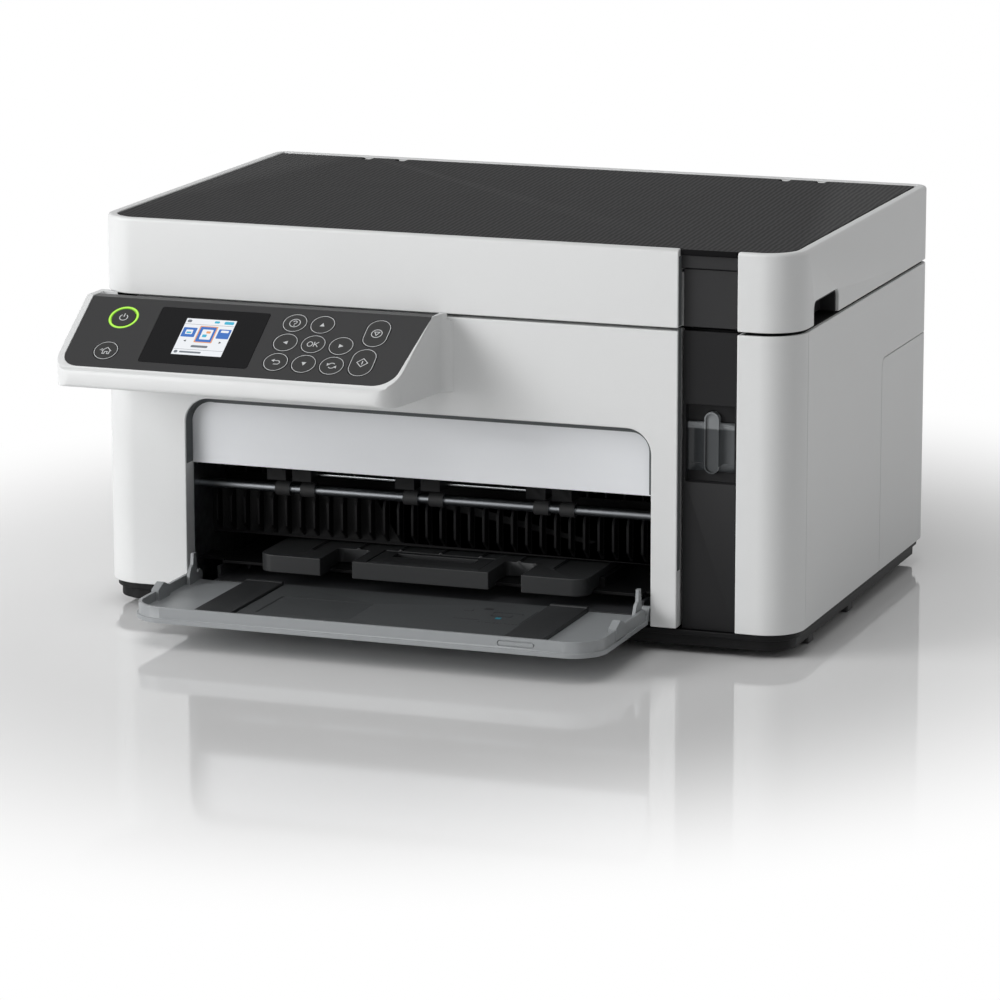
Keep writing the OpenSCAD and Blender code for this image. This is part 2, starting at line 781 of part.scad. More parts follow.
module output_tray() {
    color(dark_grey) from_front() difference() {
        union() {
            upright(out_z0, out_z1) rounded_rect(out_low, [out_high[0], deck_y[0] - 1], [8, 8, 0, 0]);
            upright(deck_z[1] + 0.3, out_z1) {
                rounded_rect(out_low, out_high, [8, 8, 2, 2]);
            }
            for (i = [-3:3]) along_y(24, out_high[1] - 4) {
                translate([paper_x + i * 22, out_z1]) circle(0.8);
            }
        }
        box([stopper_x[0] - 0.4, stopper_y[0] - 3, 28],
            [stopper_x[1] + 0.4, stopper_y[1] + 0.4, out_z1 + 2]);
        box([out_low[0] + 8, 60, deck_z[1]], [out_high[0] - 8, out_high[1] - 8, 28.4]);
        rod_x(stopper_x[0] - 3.1, stopper_x[1] + 3.1, stopper_y[0], stopper_axis_z, 1.05);
        for (x = [paper_x + slot_from_middle[0], paper_x - slot_from_middle[1]]) {
            upright(out_z0 - 1, out_z1 + 2) {
                rounded_rect([x, out_low[1] - 5], [x + 17.4, 34], [0, 0, 3, 3]);
            }
        }
    }
}

// Flap that lies flush in the output tray and stands up at its front to stop the sheets
module tray_stopper() {
    color(black) from_front() {
        difference() {
            box([stopper_x[0], stopper_y[0], 28.6], [stopper_x[1], stopper_y[1], out_z1 - 0.2]);
            box([stopper_x[0] + 8, stopper_y[1] - 12, 28], [stopper_x[1] - 8, stopper_y[1] - 4, out_z1]);
        }
        rod_x(stopper_x[0], stopper_x[1], stopper_y[0], stopper_axis_z, 1.6);
        rod_x(stopper_x[0] - 2.8, stopper_x[1] + 2.8, stopper_y[0], stopper_axis_z, 1);
    }
}

// ---- Frame and rollers --------------------------------------------------------------------

plate_left = [-145, -143];
plate_right = [116, 118];
roller_z = 62.4;
output_y = 30;
idler_y = output_y + gear_m * (output_teeth + idler_teeth) / 2;
feed_y = idler_y + gear_m * (idler_teeth + feed_teeth) / 2;
pinion_angle = 30;
pinion_dist = gear_m * (feed_teeth + pinion_teeth) / 2;
pinion_y = feed_y + pinion_dist * cos(pinion_angle);
pinion_z = roller_z + pinion_dist * sin(pinion_angle);
gear_x = [-152, -147];
shaft_r = 2.5;
feed_shaft_r = 3;
tyre_r = paper_z - roller_z;
// Middles of the star wheels and of the tyres below them
wheel_x = [-96.6, -82.6, -25.9, -11.9, 45.1, 59.1];
star_z = paper_z + 0.3 + 4.5;
star_r = 4.5;
star_pin_r = 1;
turn_y = 192;
turn_z = (paper_z + tray_floor_z) / 2 - 1;
turn_r = 25.5;
rail_z0 = 86.5;

// Outline, in y and z, of each side plate of the frame
module side_plate_outline() {
    polygon([[16, pan_top], [16, 79.2], [56, 79.2], [60, 66.6], [123, 66.6], [123, rail_z0],
        [137, rail_z0], [139, 108], [226, 108], [236, 98], [236, pan_top]]);
}

// Folded steel beam, part of the frame, that carries the carriage on its lower flange
module carriage_beam() along_x(rail_x[0], rail_x[1]) {
    translate([124, rail_z0]) square([2, 36]);
    translate([114.5, rail_z0]) square([11, 2]);
    translate([115, rail_z0 + 34]) square([11, 2]);
    translate([115, rail_z0 + 30]) square([1.6, 5]);
}

module chassis() {
    color("#55585a") from_front() {
        for (plate = [plate_left, plate_right]) difference() {
            along_x(plate[0], plate[1]) side_plate_outline();
            rod_x(plate[0] - 1, plate[1] + 1, output_y, roller_z, shaft_r + 0.05);
            rod_x(plate[0] - 1, plate[1] + 1, feed_y, roller_z, feed_shaft_r + 0.05);
            if (plate == plate_left) rod_x(plate[0] - 1, plate[1] + 1, pinion_y, pinion_z, 5);
            along_x(plate[0] - 1, plate[1] + 1) for (y = [175, 210]) translate([y, 70]) obround(12, 44);
            along_x(plate[0] - 1, plate[1] + 1) translate([90, 36]) rotate(90) obround(12, 44);
        }
        rod_x(plate_left[0] - 8, plate_left[0] + eps, idler_y, roller_z, shaft_r);
        box([plate_left[1] - eps, 228, 84], [plate_right[0] + eps, 230, 106]);
        difference() {
            carriage_beam();
            rod_y(120, 130, pulley_x[0], pulley_z, 4);
            for (i = [0:5]) along_y(120, 130) translate([-110 + i * 44, pulley_z]) {
                rotate(90) obround(9, 26);
            }
        }
        rod_y(116.4, 124 + eps, pulley_x[1], pulley_z, 1.5);
    }
}

// Deck that the output tray slides on, with the half round guide that turns the sheet behind it
module paper_guide() {
    guide_x = [-128, 102];
    color(black) from_front() {
        for (y = [deck_y[0] + 6, deck_y[1] - 14]) {
            box([plate_left[1], y, deck_z[0]], [guide_x[0] + 4, y + 14, deck_z[1]]);
            box([guide_x[1] - 4, y, deck_z[0]], [plate_right[0], y + 14, deck_z[1]]);
        }
        box([guide_x[0], deck_y[0], deck_z[0]], [guide_x[1], deck_y[1], deck_z[1]]);
        for (side = [out_low[0] - 3.3, out_high[0] + 0.5]) {
            box([side, 28, deck_z[1] - eps], [side + 2.8, deck_y[1], deck_z[1] + 5]);
        }
        difference() {
            along_x(plate_left[1], plate_right[0]) difference() {
                translate([turn_y, turn_z]) circle(turn_r + 1.8);
                translate([turn_y, turn_z]) circle(turn_r);
                translate([turn_y - 60, turn_z - 60]) square([60, 120]);
            }
            box([-60, turn_y + 15, 0], [-50, turn_y + 40, 80]);
            box([25, turn_y + 15, 0], [35, turn_y + 40, 80]);
        }
    }
}

// Involute of a base circle: the point at roll angle t
function involute(rb, t) = rb * [cos(t) + t * PI / 180 * sin(t), sin(t) - t * PI / 180 * cos(t)];
function roll_at(rb, r) = r <= rb ? 0 : sqrt(pow(r / rb, 2) - 1) * 180 / PI;
function turn(p, a) = [p[0] * cos(a) - p[1] * sin(a), p[0] * sin(a) + p[1] * cos(a)];
function flank_angle(rb, r) = let (p = involute(rb, roll_at(rb, r))) atan2(p[1], p[0]);

// Outline of a spur gear whose first tooth points along the first axis
module gear_outline(teeth) {
    r = gear_m * teeth / 2;
    rb = r * cos(20);
    root = r - 1.2 * gear_m;
    tip = r + 0.95 * gear_m;
    share = 0.44;
    half = 180 * share / teeth + flank_angle(rb, r);
    rings = [max(rb, root), (max(rb, root) + r) / 2, r, (r + tip) / 2, tip];
    function side(sign, a) = [for (q = rings) let (b = half - flank_angle(rb, q))
        q * [cos(a + sign * b), sin(a + sign * b)]];
    function rev(list) = [for (i = [len(list) - 1:-1:0]) list[i]];
    polygon([for (k = [0:teeth - 1]) let (a = k * 360 / teeth) each concat(
        [root * [cos(a - half * 1.15), sin(a - half * 1.15)]], side(-1, a), rev(side(1, a)),
        [root * [cos(a + half * 1.15), sin(a + half * 1.15)]])]);
}

// A gear on an axis along x, turned so that its first tooth points at angle, from y towards z
module gear_x_axis(teeth, y, z, angle, bore) {
    difference() {
        union() {
            translate([gear_x[0], y, z]) rotate([90, 0, 90]) rotate(angle) {
                linear_extrude(gear_x[1] - gear_x[0]) gear_outline(teeth);
            }
            rod_x(gear_x[0] - 0.8, gear_x[1] + 1, y, z, bore + 2.2);
        }
        if (teeth > 20) {
            rod_x(gear_x[0] - 1, gear_x[0] + 1.4, y, z, gear_m * teeth / 2 - 3.6);
        }
    }
    rod_x(gear_x[0] - 0.8, gear_x[0] + 2, y, z, bore + 2.2);
}

module gear_with_bore(teeth, y, z, angle, bore) {
    difference() {
        gear_x_axis(teeth, y, z, angle, bore);
        rod_x(gear_x[0] - 5, gear_x[1] + 5, y, z, bore);
    }
}

// Half a tooth pitch, in degrees
function half_pitch(teeth) = 180 / teeth;
idler_phase = 180;
output_phase = half_pitch(output_teeth);
// The idler's tooth towards the feed gear stands this far from the line of centres
idler_lag = 180 - floor(180 / (360 / idler_teeth)) * 360 / idler_teeth;
feed_phase = 180 + half_pitch(feed_teeth) - idler_lag * idler_teeth / feed_teeth;
feed_lag = pinion_angle - feed_phase
    - round((pinion_angle - feed_phase) / (360 / feed_teeth)) * 360 / feed_teeth;
pinion_phase = pinion_angle + 180 + half_pitch(pinion_teeth) + feed_lag * feed_teeth / pinion_teeth;

module output_roller() {
    color(steel) from_front() {
        rod_x(gear_x[0] - 0.7, plate_right[1] + 2, output_y, roller_z, shaft_r);
        gear_x_axis(output_teeth, output_y, roller_z, output_phase, shaft_r);
    }
    color(rubber_black) from_front() for (x = wheel_x) {
        difference() {
            rod_x(x - 4, x + 4, output_y, roller_z, tyre_r);
            rod_x(x - 5, x + 5, output_y, roller_z, shaft_r);
        }
    }
}

module feed_roller() {
    color(steel) from_front() {
        rod_x(gear_x[0] - 0.7, plate_right[1] + 2, feed_y, roller_z, feed_shaft_r);
        gear_x_axis(feed_teeth, feed_y, roller_z, feed_phase, feed_shaft_r);
    }
    color(rubber_black) from_front() difference() {
        rod_x(-126, 100, feed_y, roller_z, tyre_r);
        rod_x(-127, 101, feed_y, roller_z, feed_shaft_r);
    }
}

module idler_gear() {
    color("#e8e6df") from_front() {
        gear_with_bore(idler_teeth, idler_y, roller_z, idler_phase, shaft_r + 0.05);
    }
}

module motor_pinion() {
    color("#c9a85a") from_front() gear_with_bore(pinion_teeth, pinion_y, pinion_z, pinion_phase, 1.05);
}

// Frame above the paper outlet, with a forked holder for each star wheel
module star_wheel_frame() {
    fork = 5.3;
    color(black) from_front() difference() {
        union() {
            box([plate_left[1], 16.1, 76.2], [plate_right[0], 46, 79.2]);
            for (i = [0:16]) box([-140 + i * 15.5, 18, 74.5], [-138.8 + i * 15.5, 44, 76.3]);
            for (x = wheel_x) {
                box([x - fork, 19, star_z - 2.2], [x + fork, 41, 76.3]);
            }
        }
        for (x = wheel_x) {
            rod_x(x - 1, x + 1, output_y, star_z, star_r + 0.6);
            rod_x(x - fork - 1, x + fork + 1, output_y, star_z, star_pin_r + 0.05);
            box([x - 1, output_y - 3, star_z - 6], [x + 1, output_y + 3, star_z]);
        }
    }
}

module star_wheels() {
    points = 16;
    color(steel) from_front() {
        rod_x(wheel_x[0] - 5.3, wheel_x[5] + 5.3, output_y, star_z, star_pin_r);
        for (x = wheel_x) along_x(x - 0.4, x + 0.4) translate([output_y, star_z]) {
            polygon([for (i = [0:2 * points - 1]) let (r = i % 2 == 0 ? star_r : star_r - 1.1)
                r * [cos(i * 180 / points), sin(i * 180 / points)]]);
        }
    }
}

// Ribbed bed below the print head, with a ribbed apron down to the output tray
module platen() {
    platen_x = [plate_left[1], plate_right[0]];
    color(black) from_front() {
        box([platen_x[0], 62, 56], [platen_x[1], 110, 62]);
        for (i = [0:24]) box([-133 + i * 10, 63, 61.9], [-131.6 + i * 10, 109, 65.4]);
        box([platen_x[0], 44, 33.4], [platen_x[1], 46.4, 60]);
        box([platen_x[0], 44, 56], [platen_x[1], 62.1, 58]);
        for (i = [0:32]) along_x(-139 + i * 7.8, -137.6 + i * 7.8) {
            polygon([[44.1, 35], [38, 40], [38, 54], [41, 59.5], [44.1, 59.5]]);
        }
    }
}

// ---- Carriage -----------------------------------------------------------------------------

pulley_x = [-160, 164];
pulley_z = 101;
pulley_r = 6;
belt_t = 1;
belt_slip = 0.35;
belt_y = [117, 121];
rail_x = [-174, 176];
carriage_x = [104, 156];

module carriage() {
    x0 = carriage_x[0];
    x1 = carriage_x[1];
    color(black) from_front() {
        difference() {
            along_x(x0, x1) {
                polygon([[66, 74], [66, 108], [72, 116], [112, 116], [112, 70], [104, 70], [100, 72],
                    [74, 72]]);
            }
            box([x0 + 4, 70, 98], [x1 - 4, 106, 118]);
        }
        box([x0 + 8, 76, 67.6], [x1 - 8, 100, 72.1]);
        for (x = [x0 + 4, x1 - 16]) {
            box([x, 111.9, rail_z0 + 2.3], [x + 12, 122, rail_z0 + 7]);
            box([x, 111.9, rail_z0 - 4.3], [x + 12, 121.6, rail_z0 - 0.3]);
        }
        box([x0 + 20, 111.9, rail_z0 + 2.3], [x1 - 20, 121, pulley_z - pulley_r - belt_slip - belt_t - 0.4]);
        for (i = [0:3]) box([x0 + 7 + i * 10, 72, 97.9], [x0 + 13 + i * 10, 102, 112]);
    }
}

module belt_outline(grow) {
    for (x = pulley_x) translate([x, pulley_z]) circle(pulley_r + grow);
    translate([pulley_x[0], pulley_z - pulley_r - grow]) {
        square([pulley_x[1] - pulley_x[0], 2 * (pulley_r + grow)]);
    }
}

module timing_belt() {
    color(rubber_black) from_front() along_y(belt_y[0], belt_y[1]) difference() {
        belt_outline(belt_slip + belt_t);
        belt_outline(belt_slip);
    }
}

module pulley(x) {
    difference() {
        union() {
            rod_y(belt_y[0] - 0.5, belt_y[1] + 0.5, x, pulley_z, pulley_r);
            rod_y(belt_y[1] + 0.4, belt_y[1] + 1.4, x, pulley_z, pulley_r + 2);
        }
        rod_y(100, 140, x, pulley_z, 1.55);
        for (a = [0:15:345]) rod_y(belt_y[0] - 1, belt_y[1] + 0.3, x + pulley_r * cos(a),
            pulley_z + pulley_r * sin(a), 0.35);
    }
}

module motor_pulley() {
    color(steel) from_front() pulley(pulley_x[0]);
}

module idler_pulley() {
    color("#e8e6df") from_front() pulley(pulley_x[1]);
}

// Two identical can motors: one along y for the carriage, one along x for the rollers
module can_motor(shaft_len, shaft) {
    translate([0, 0, 0]) cylinder(h = 38, r = 13.5);
    translate([0, 0, 37.9]) cylinder(h = 3, r = 5);
    translate([0, 0, -2]) cylinder(h = 2.1, r = 4);
    translate([0, 0, -shaft_len]) cylinder(h = shaft_len, r = shaft);
}

module drive_motors() {
    color("#8d9195") from_front() {
        translate([pulley_x[0], 126.1, pulley_z]) rotate([-90, 0, 0]) can_motor(9.5, 1.5);
        translate([plate_left[1] + 0.1, pinion_y, pinion_z]) rotate([0, 90, 0]) can_motor(9.8, 1);
    }
}

// ---- Scanner unit -------------------------------------------------------------------------

deck_top = 192.5;
glass_low = [-156, 11];
glass_high = [152, 235];
notch_y = [29, 73];
notch_z = 177;
notch_d = 11.5;
cover_axis_y = 237.5;
cover_axis_z = body_h - 0.2 - 3;
lug_x = [[108, 112], [128, 132]];
doc_low = [-181.7, 4.4];
doc_high = [181.7, cover_axis_y];
scan_rod_z = 171.6;
scan_rod_y = 123;
lip_x = [column_x0 + 1, column_x1 - 1];

module notch_outline(grow) {
    rounded_rect([notch_y[0] - grow, lid_z - 2], [notch_y[1] + grow, notch_z + grow],
        [0, 0, 4 + grow, 4 + grow]);
}

module scanner_housing() {
    color(white) from_front() {
        difference() {
            soft_block(lid_z, body_h, 1.8);
            upright(deck_top, body_h + 1) {
                rounded_rect([doc_low[0] - 0.5, doc_low[1] - 0.5], [doc_high[0] + 0.5, 240.9],
                    [15.5, 15.5, 0.5, 0.5]);
            }
            box([-173, 10, lid_z + 2.5], [173, 237, deck_top - 4.5]);
            box([glass_low[0] + 5, glass_low[1] + 4, deck_top - 5], [glass_high[0] - 5, glass_high[1] - 4,
                deck_top + 1]);
            box([glass_low[0], glass_low[1], deck_top - 2.5], [glass_high[0], glass_high[1], deck_top + 1]);
            box([column_x0, -1, lid_z - 1], [column_x1, column_back + 2.2, body_h + 1]);
            for (side = [-1, 1]) {
                notch_x = side > 0 ? half_w - notch_d : -half_w - 1;
                along_x(notch_x, notch_x + notch_d + 1) notch_outline(0);
                x = side * (knuckle_zone[0] + knuckle_zone[1]) / 2;
                rod_x(x - 19.2, x + 19.2, hinge_axis_y, hinge_axis_z, knuckle_r + 0.5);
            }
        }
        rod_x(-173.1, 173.1, scan_rod_y, scan_rod_z, 3);
        for (side = [-1, 1]) {
            x0 = side > 0 ? knuckle_mid[0] : -knuckle_mid[1];
            x1 = x0 + knuckle_mid[1] - knuckle_mid[0];
            difference() {
                union() {
                    rod_x(x0, x1, hinge_axis_y, hinge_axis_z, knuckle_r);
                    box([x0, hinge_axis_y - 3.1, hinge_axis_z], [x1, body_d, hinge_axis_z + 6]);
                }
                rod_x(x0 - 1, x1 + 1, hinge_axis_y, hinge_axis_z, 1.55);
            }
            for (lug = lug_x) {
                a = side > 0 ? lug[0] : -lug[1];
                box([a, cover_axis_y - 2.6, deck_top - 0.1], [a + 4, 241, cover_axis_z]);
                rod_x(a, a + 4, cover_axis_y, cover_axis_z, 2.6);
            }
            rod_x(side > 0 ? 111 : -129, side > 0 ? 129 : -111, cover_axis_y, cover_axis_z, 1.25);
        }
    }
}

module scanner_glass() {
    color("#dfe8ea", 0.4) from_front() {
        box([glass_low[0] + 0.1, glass_low[1] + 0.1, deck_top - 2.5],
            [glass_high[0] - 0.1, glass_high[1] - 0.1, deck_top - 0.05]);
    }
}

// Black trim: the block that carries the ink column up to the lip, and the linings of the grips
module lid_inserts() {
    gap = 0.2;
    color(black) from_front() {
        box([column_x0 + 1.1, column_back, lid_z + 0.1],
            [column_x1 - 1.1, column_back + 2.1, deck_top + 1.7]);
        for (side = [-1, 1]) mirror([side > 0 ? 0 : 1, 0, 0]) difference() {
            along_x(half_w - notch_d + 0.05, half_w - 1.6) intersection() {
                notch_outline(-gap / 2);
                translate([0, lid_z]) square([body_d, 40]);
            }
            along_x(half_w - notch_d + 1.5, half_w) notch_outline(-1.4);
        }
    }
}

module scan_head() {
    x0 = -158;
    color(black) from_front() difference() {
        union() {
            box([x0, 14, 177], [x0 + 18, 232, 187.2]);
            box([x0 - 2, scan_rod_y - 12, lid_z + 2.9], [x0 + 20, scan_rod_y + 12, 177.1]);
        }
        rod_x(x0 - 5, x0 + 25, scan_rod_y, scan_rod_z, 3.05);
        box([x0 + 5, 18, 185.8], [x0 + 13, 228, 188]);
    }
}

// ---- Document cover -----------------------------------------------------------------------

module document_cover() {
    top = body_h - 0.2;
    knuckle_gap = 0.4;
    color("#2f3032") from_front() difference() {
        union() {
            upright(deck_top + 2, top) {
                rounded_rect(doc_low, [doc_high[0], 231], [15, 15, 0, 0]);
            }
            upright(cover_axis_z - 3, top) {
                translate([doc_low[0], 229]) square([doc_high[0] - doc_low[0], cover_axis_y - 229]);
            }
            rod_x(doc_low[0] + 2, doc_high[0] - 2, cover_axis_y, cover_axis_z, 3);
            box([lip_x[0], 2.2, top - 3], [lip_x[1], 8, top]);
        }
        for (side = [-1, 1]) {
            for (lug = lug_x) {
                a = side > 0 ? lug[0] : -lug[1];
                box([a - knuckle_gap, cover_axis_y - 5, deck_top], [a + 4 + knuckle_gap, 242, top + 1]);
            }
            rod_x(side > 0 ? 110 : -130, side > 0 ? 130 : -110, cover_axis_y, cover_axis_z, 1.3);
        }
        for (i = [0:5], j = [0:2]) {
            box([-171 + i * 57, 14 + j * 71, deck_top + 1.9], [-117 + i * 57, 82 + j * 71, top - 2.4]);
        }
    }
}

module cover_pad() {
    color("#f2f2f0") from_front() upright(deck_top + 0.3, deck_top + 1.95) {
        rounded_rect([-160, 10], [156, 228], [4, 4, 4, 4]);
    }
}

// ---- Electrics ----------------------------------------------------------------------------

module power_supply() {
    low = [122, 152, 14];
    high = [178, body_d - 12, 58];
    color("#33363a") from_front() {
        difference() {
            box(low, high);
            for (i = [0:8]) box([low[0] - 1, low[1] + 8 + i * 8, 24], [low[0] + 2, low[1] + 12 + i * 8, 48]);
            for (i = [0:8]) box([low[0] + 8, low[1] + 8 + i * 8, high[2] - 2], [high[0] - 8,
                low[1] + 12 + i * 8, high[2] + 1]);
        }
        difference() {
            box([inlet_x - 13, high[1] - 0.1, inlet_z - 9.5], [inlet_x + 13, body_d + 0.2, inlet_z + 9.5]);
            along_y(body_d - 10, body_d + 1) for (s = [-1, 1]) translate([inlet_x + s * 4.2, inlet_z]) {
                circle(4.6);
            }
            box([inlet_x - 4.2, body_d - 10, inlet_z - 4], [inlet_x + 4.2, body_d + 1, inlet_z + 4]);
        }
        for (s = [-1, 1]) rod_y(body_d - 10.1, body_d - 2, inlet_x + s * 4.3, inlet_z, 1.2);
    }
}

module main_board() {
    board_x = -181;
    color("#2f6b3a") from_front() {
        box([board_x, 150, 60], [board_x + 1.6, 238, 150]);
        box([board_x + 1.5, 226, 92], [usb_x + 8, 227.6, 132]);
    }
    color("#202226") from_front() {
        box([board_x + 1.6, 176, 96], [board_x + 4, 198, 118]);
        box([board_x + 1.6, 206, 122], [board_x + 4, 220, 136]);
        for (i = [0:3]) box([board_x + 1.6, 156 + i * 17, 66], [board_x + 8, 168 + i * 17, 72]);
    }
    color(steel) from_front() difference() {
        box([usb_x - 6.2, 227.5, usb_z - 5.7], [usb_x + 6.2, body_d + 0.1, usb_z + 5.7]);
        box([usb_x - 4.3, body_d - 10, usb_z - 4], [usb_x + 4.3, body_d + 1, usb_z + 4]);
    }
    color(white) from_front() {
        box([usb_x - 1.6, body_d - 10.1, usb_z - 3.9], [usb_x + 1.6, body_d - 2, usb_z - 1.2]);
    }
}

base_pan();
feet();
front_frame();
recess_panel();
right_corner_cover();
right_side_cover();
right_rear_cover();
left_side_cover();
rear_cover();
upper_frame();
column_cover();
ink_tank();
tank_cap();
panel_housing();
panel_face();
screen_window();
display();
power_ring();
panel_button(power_at);  // button_power
panel_button(home_at);  // button_home
panel_button(help_at);  // button_help
panel_button(up_at);  // button_up
panel_button(left_at);  // button_left
panel_button(ok_at);  // button_ok
panel_button(right_at);  // button_right
panel_button(back_at);  // button_back
panel_button(down_at);  // button_down
panel_button(cycle_at);  // button_cycle
panel_button(stop_at);  // button_stop
panel_button(start_at);  // button_start
front_cover();
cover_inserts();
paper_tray();
edge_guide(-1);  // edge_guide_left
edge_guide(1);  // edge_guide_right
output_tray();
tray_stopper();
chassis();
star_wheel_frame();
star_wheels();
output_roller();
feed_roller();
idler_gear();
drive_motors();
motor_pinion();
platen();
paper_guide();
carriage();
timing_belt();
motor_pulley();
idler_pulley();
scanner_housing();
scanner_glass();
lid_inserts();
scan_head();
document_cover();
cover_pad();
power_supply();
main_board();
screws();
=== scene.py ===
import math
import bmesh
import bpy
import numpy as np
from mathutils import Matrix


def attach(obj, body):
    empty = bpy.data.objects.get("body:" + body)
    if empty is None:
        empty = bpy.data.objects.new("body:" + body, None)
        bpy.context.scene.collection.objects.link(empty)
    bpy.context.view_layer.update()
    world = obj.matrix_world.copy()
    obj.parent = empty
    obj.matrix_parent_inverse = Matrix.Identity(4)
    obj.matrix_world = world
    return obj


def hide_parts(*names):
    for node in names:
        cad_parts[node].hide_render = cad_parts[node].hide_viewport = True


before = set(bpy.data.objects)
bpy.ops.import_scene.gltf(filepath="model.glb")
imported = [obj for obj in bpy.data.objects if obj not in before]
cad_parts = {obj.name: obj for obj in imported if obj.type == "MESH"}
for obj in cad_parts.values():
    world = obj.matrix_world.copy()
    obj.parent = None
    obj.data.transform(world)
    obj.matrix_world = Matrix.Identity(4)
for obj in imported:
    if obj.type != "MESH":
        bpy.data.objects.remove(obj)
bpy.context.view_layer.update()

# ---- Camera and light
# The view is upright, a little above the lid and well to the right of the middle, through a long
# lens. A large soft window lights the left, a fill the front, and two weaker lamps stand overhead
# and behind on the right.

FRONT = -84.35  # the body's front face, in millimetres from the origin
VIEW_PLACE = (864.388, -2296.336 + FRONT, 605.548)  # millimetres

camera_data = bpy.data.cameras.new("view_camera")
camera_data.sensor_width = 36
camera_data.lens = 178.88
camera_data.clip_end = 50
camera = bpy.data.objects.new("view_camera", camera_data)
bpy.context.collection.objects.link(camera)
right = (0.940333, 0.340253, -0.001156)
up = (-0.071603, 0.201203, 0.976929)
back = (0.332635, -0.918556, 0.213561)
camera.matrix_world = Matrix([[right[i], up[i], back[i], 0] for i in range(3)] + [[0, 0, 0, 1]])
camera.location = [part / 1000 for part in VIEW_PLACE]
bpy.context.scene.camera = camera
bpy.context.scene.view_settings.view_transform = "Standard"


def soft_light(name, place, aim, size, power):
    """A square area lamp at place, its face turned towards aim; metres and watts."""
    data = bpy.data.lights.new(name, "AREA")
    data.shape, data.size, data.energy = "SQUARE", size, power
    lamp = bpy.data.objects.new(name, data)
    lamp.location = place
    away = np.array(place, float) - np.array(aim, float)
    flat = math.hypot(away[0], away[1])
    lamp.rotation_euler = (math.atan2(flat, away[2]), 0, math.atan2(away[0], -away[1]))
    bpy.context.collection.objects.link(lamp)


soft_light("window_left", (-2.3, -1.6, 1.2), (0, 0, 0.1), 1.5, 43)
soft_light("fill_front", (-1.9, -2.3, 0.3), (-0.1, 0, 0.05), 1.4, 33)
soft_light("side_right", (2.4, 1.9, 0.9), (0.15, 0.1, 0.1), 1.2, 7)
soft_light("overhead", (0, -0.9, 2.4), (0, -0.1, 0.1), 1.6, 18)


def linear(code):
    """An sRGB hex code as linear red, green, blue and full alpha."""
    raw = [int(code[i:i + 2], 16) / 255 for i in (1, 3, 5)]
    return [c / 12.92 if c <= 0.04045 else ((c + 0.055) / 1.055) ** 2.4 for c in raw] + [1.0]


def add(tree, kind, settings=(), **links):
    """Adds one node; settings are its own values, links name sockets and what feeds them.

    A socket is named by its label, or by an underscore and its place in the list."""
    made = tree.nodes.new("ShaderNode" + kind)
    for key, value in dict(settings).items():
        if hasattr(made, key):
            setattr(made, key, value)
        else:
            made.inputs[int(key[1:]) if key[0] == "_" else key.replace("_", " ")].default_value = value
    for key, source in links.items():
        socket = made.inputs[int(key[1:]) if key[0] == "_" else key.replace("_", " ")]
        tree.links.new(source if not hasattr(source, "outputs") else source.outputs[0], socket)
    return made


world = bpy.data.worlds.new("studio")
bpy.context.scene.world = world
world.use_nodes = True
sky = world.node_tree
sky.nodes.clear()
ray = add(sky, "LightPath")
seen = add(sky, "Math", {"operation": "MAXIMUM"}, _0=ray.outputs["Is Camera Ray"],
           _1=ray.outputs["Is Transmission Ray"])
sheen = add(sky, "Math", {"operation": "MULTIPLY", "_1": 0.8}, _0=ray.outputs["Is Glossy Ray"])
either = add(sky, "Math", {"operation": "MAXIMUM"}, _0=seen, _1=sheen)
level = add(sky, "Math", {"operation": "MAXIMUM", "_1": 0.19}, _0=either)
glow = add(sky, "Background", {"Color": (1, 1, 1, 1)}, Strength=level)
add(sky, "OutputWorld", Surface=glow)

# ---- Table
# A large sheet of white acrylic: it takes the soft shadow, mirrors the body faintly, and fades into
# the white background between 0.29 and 0.58 m from its middle.


def new_material(name):
    """An empty node material and its tree."""
    made = bpy.data.materials.new(name)
    made.use_nodes = True
    made.node_tree.nodes.clear()
    return made, made.node_tree


def put_mesh(name, points, faces, body, material, slot=None):
    """Makes a mesh object from points in millimetres and faces, and lets it ride on a body."""
    mesh = bpy.data.meshes.new(name)
    mesh.from_pydata((np.asarray(points, float) / 1000).tolist(), [], faces)
    mesh.update()
    piece = bpy.data.objects.new(name, mesh)
    bpy.context.collection.objects.link(piece)
    mesh.materials.append(material)
    if body:
        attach(piece, body)
    return piece


# Cast acrylic, white right through: the soft shadow lies on it and a faint mirror image in it.
acrylic, tree = new_material("table_acrylic")
spot = add(tree, "TexCoord")
wide = add(tree, "Mapping", {"Scale": (1.25, 1.0, 1.0)}, Vector=spot.outputs["Object"])
far = add(tree, "VectorMath", {"operation": "LENGTH"}, _0=wide)
fade = add(tree, "MapRange", {"interpolation_type": "SMOOTHSTEP", "From_Min": 0.29, "From_Max": 0.58},
           Value=far.outputs["Value"])
path = add(tree, "LightPath")
shown = add(tree, "Math", {"operation": "MAXIMUM"}, _0=path.outputs["Is Camera Ray"],
            _1=path.outputs["Is Glossy Ray"])
faded = add(tree, "Math", {"operation": "MULTIPLY"}, _0=fade, _1=shown)
sheet = add(tree, "BsdfPrincipled", {"Base_Color": (0.88, 0.88, 0.88, 1), "Roughness": 0.06, "IOR": 1.62})
white = add(tree, "Emission", {"Color": (1, 1, 1, 1), "Strength": 1.0})
mixed = add(tree, "MixShader", (), Fac=faded, _1=sheet, _2=white)
add(tree, "OutputMaterial", Surface=mixed)
TABLE_HALF = 6000  # millimetres
TABLE_Z = -0.2
table_corners = [(a * TABLE_HALF, b * TABLE_HALF, TABLE_Z) for a, b in ((-1, -1), (1, -1), (1, 1), (-1, 1))]
table = put_mesh("table", table_corners, [(0, 1, 2, 3)], None, acrylic)

# ---- Moulded covers
# The body is a set of injection moulded ABS covers with a fine spark-eroded texture. Their edges are
# rounded by about half a millimetre, so each cover takes a thin bright line along its edges.

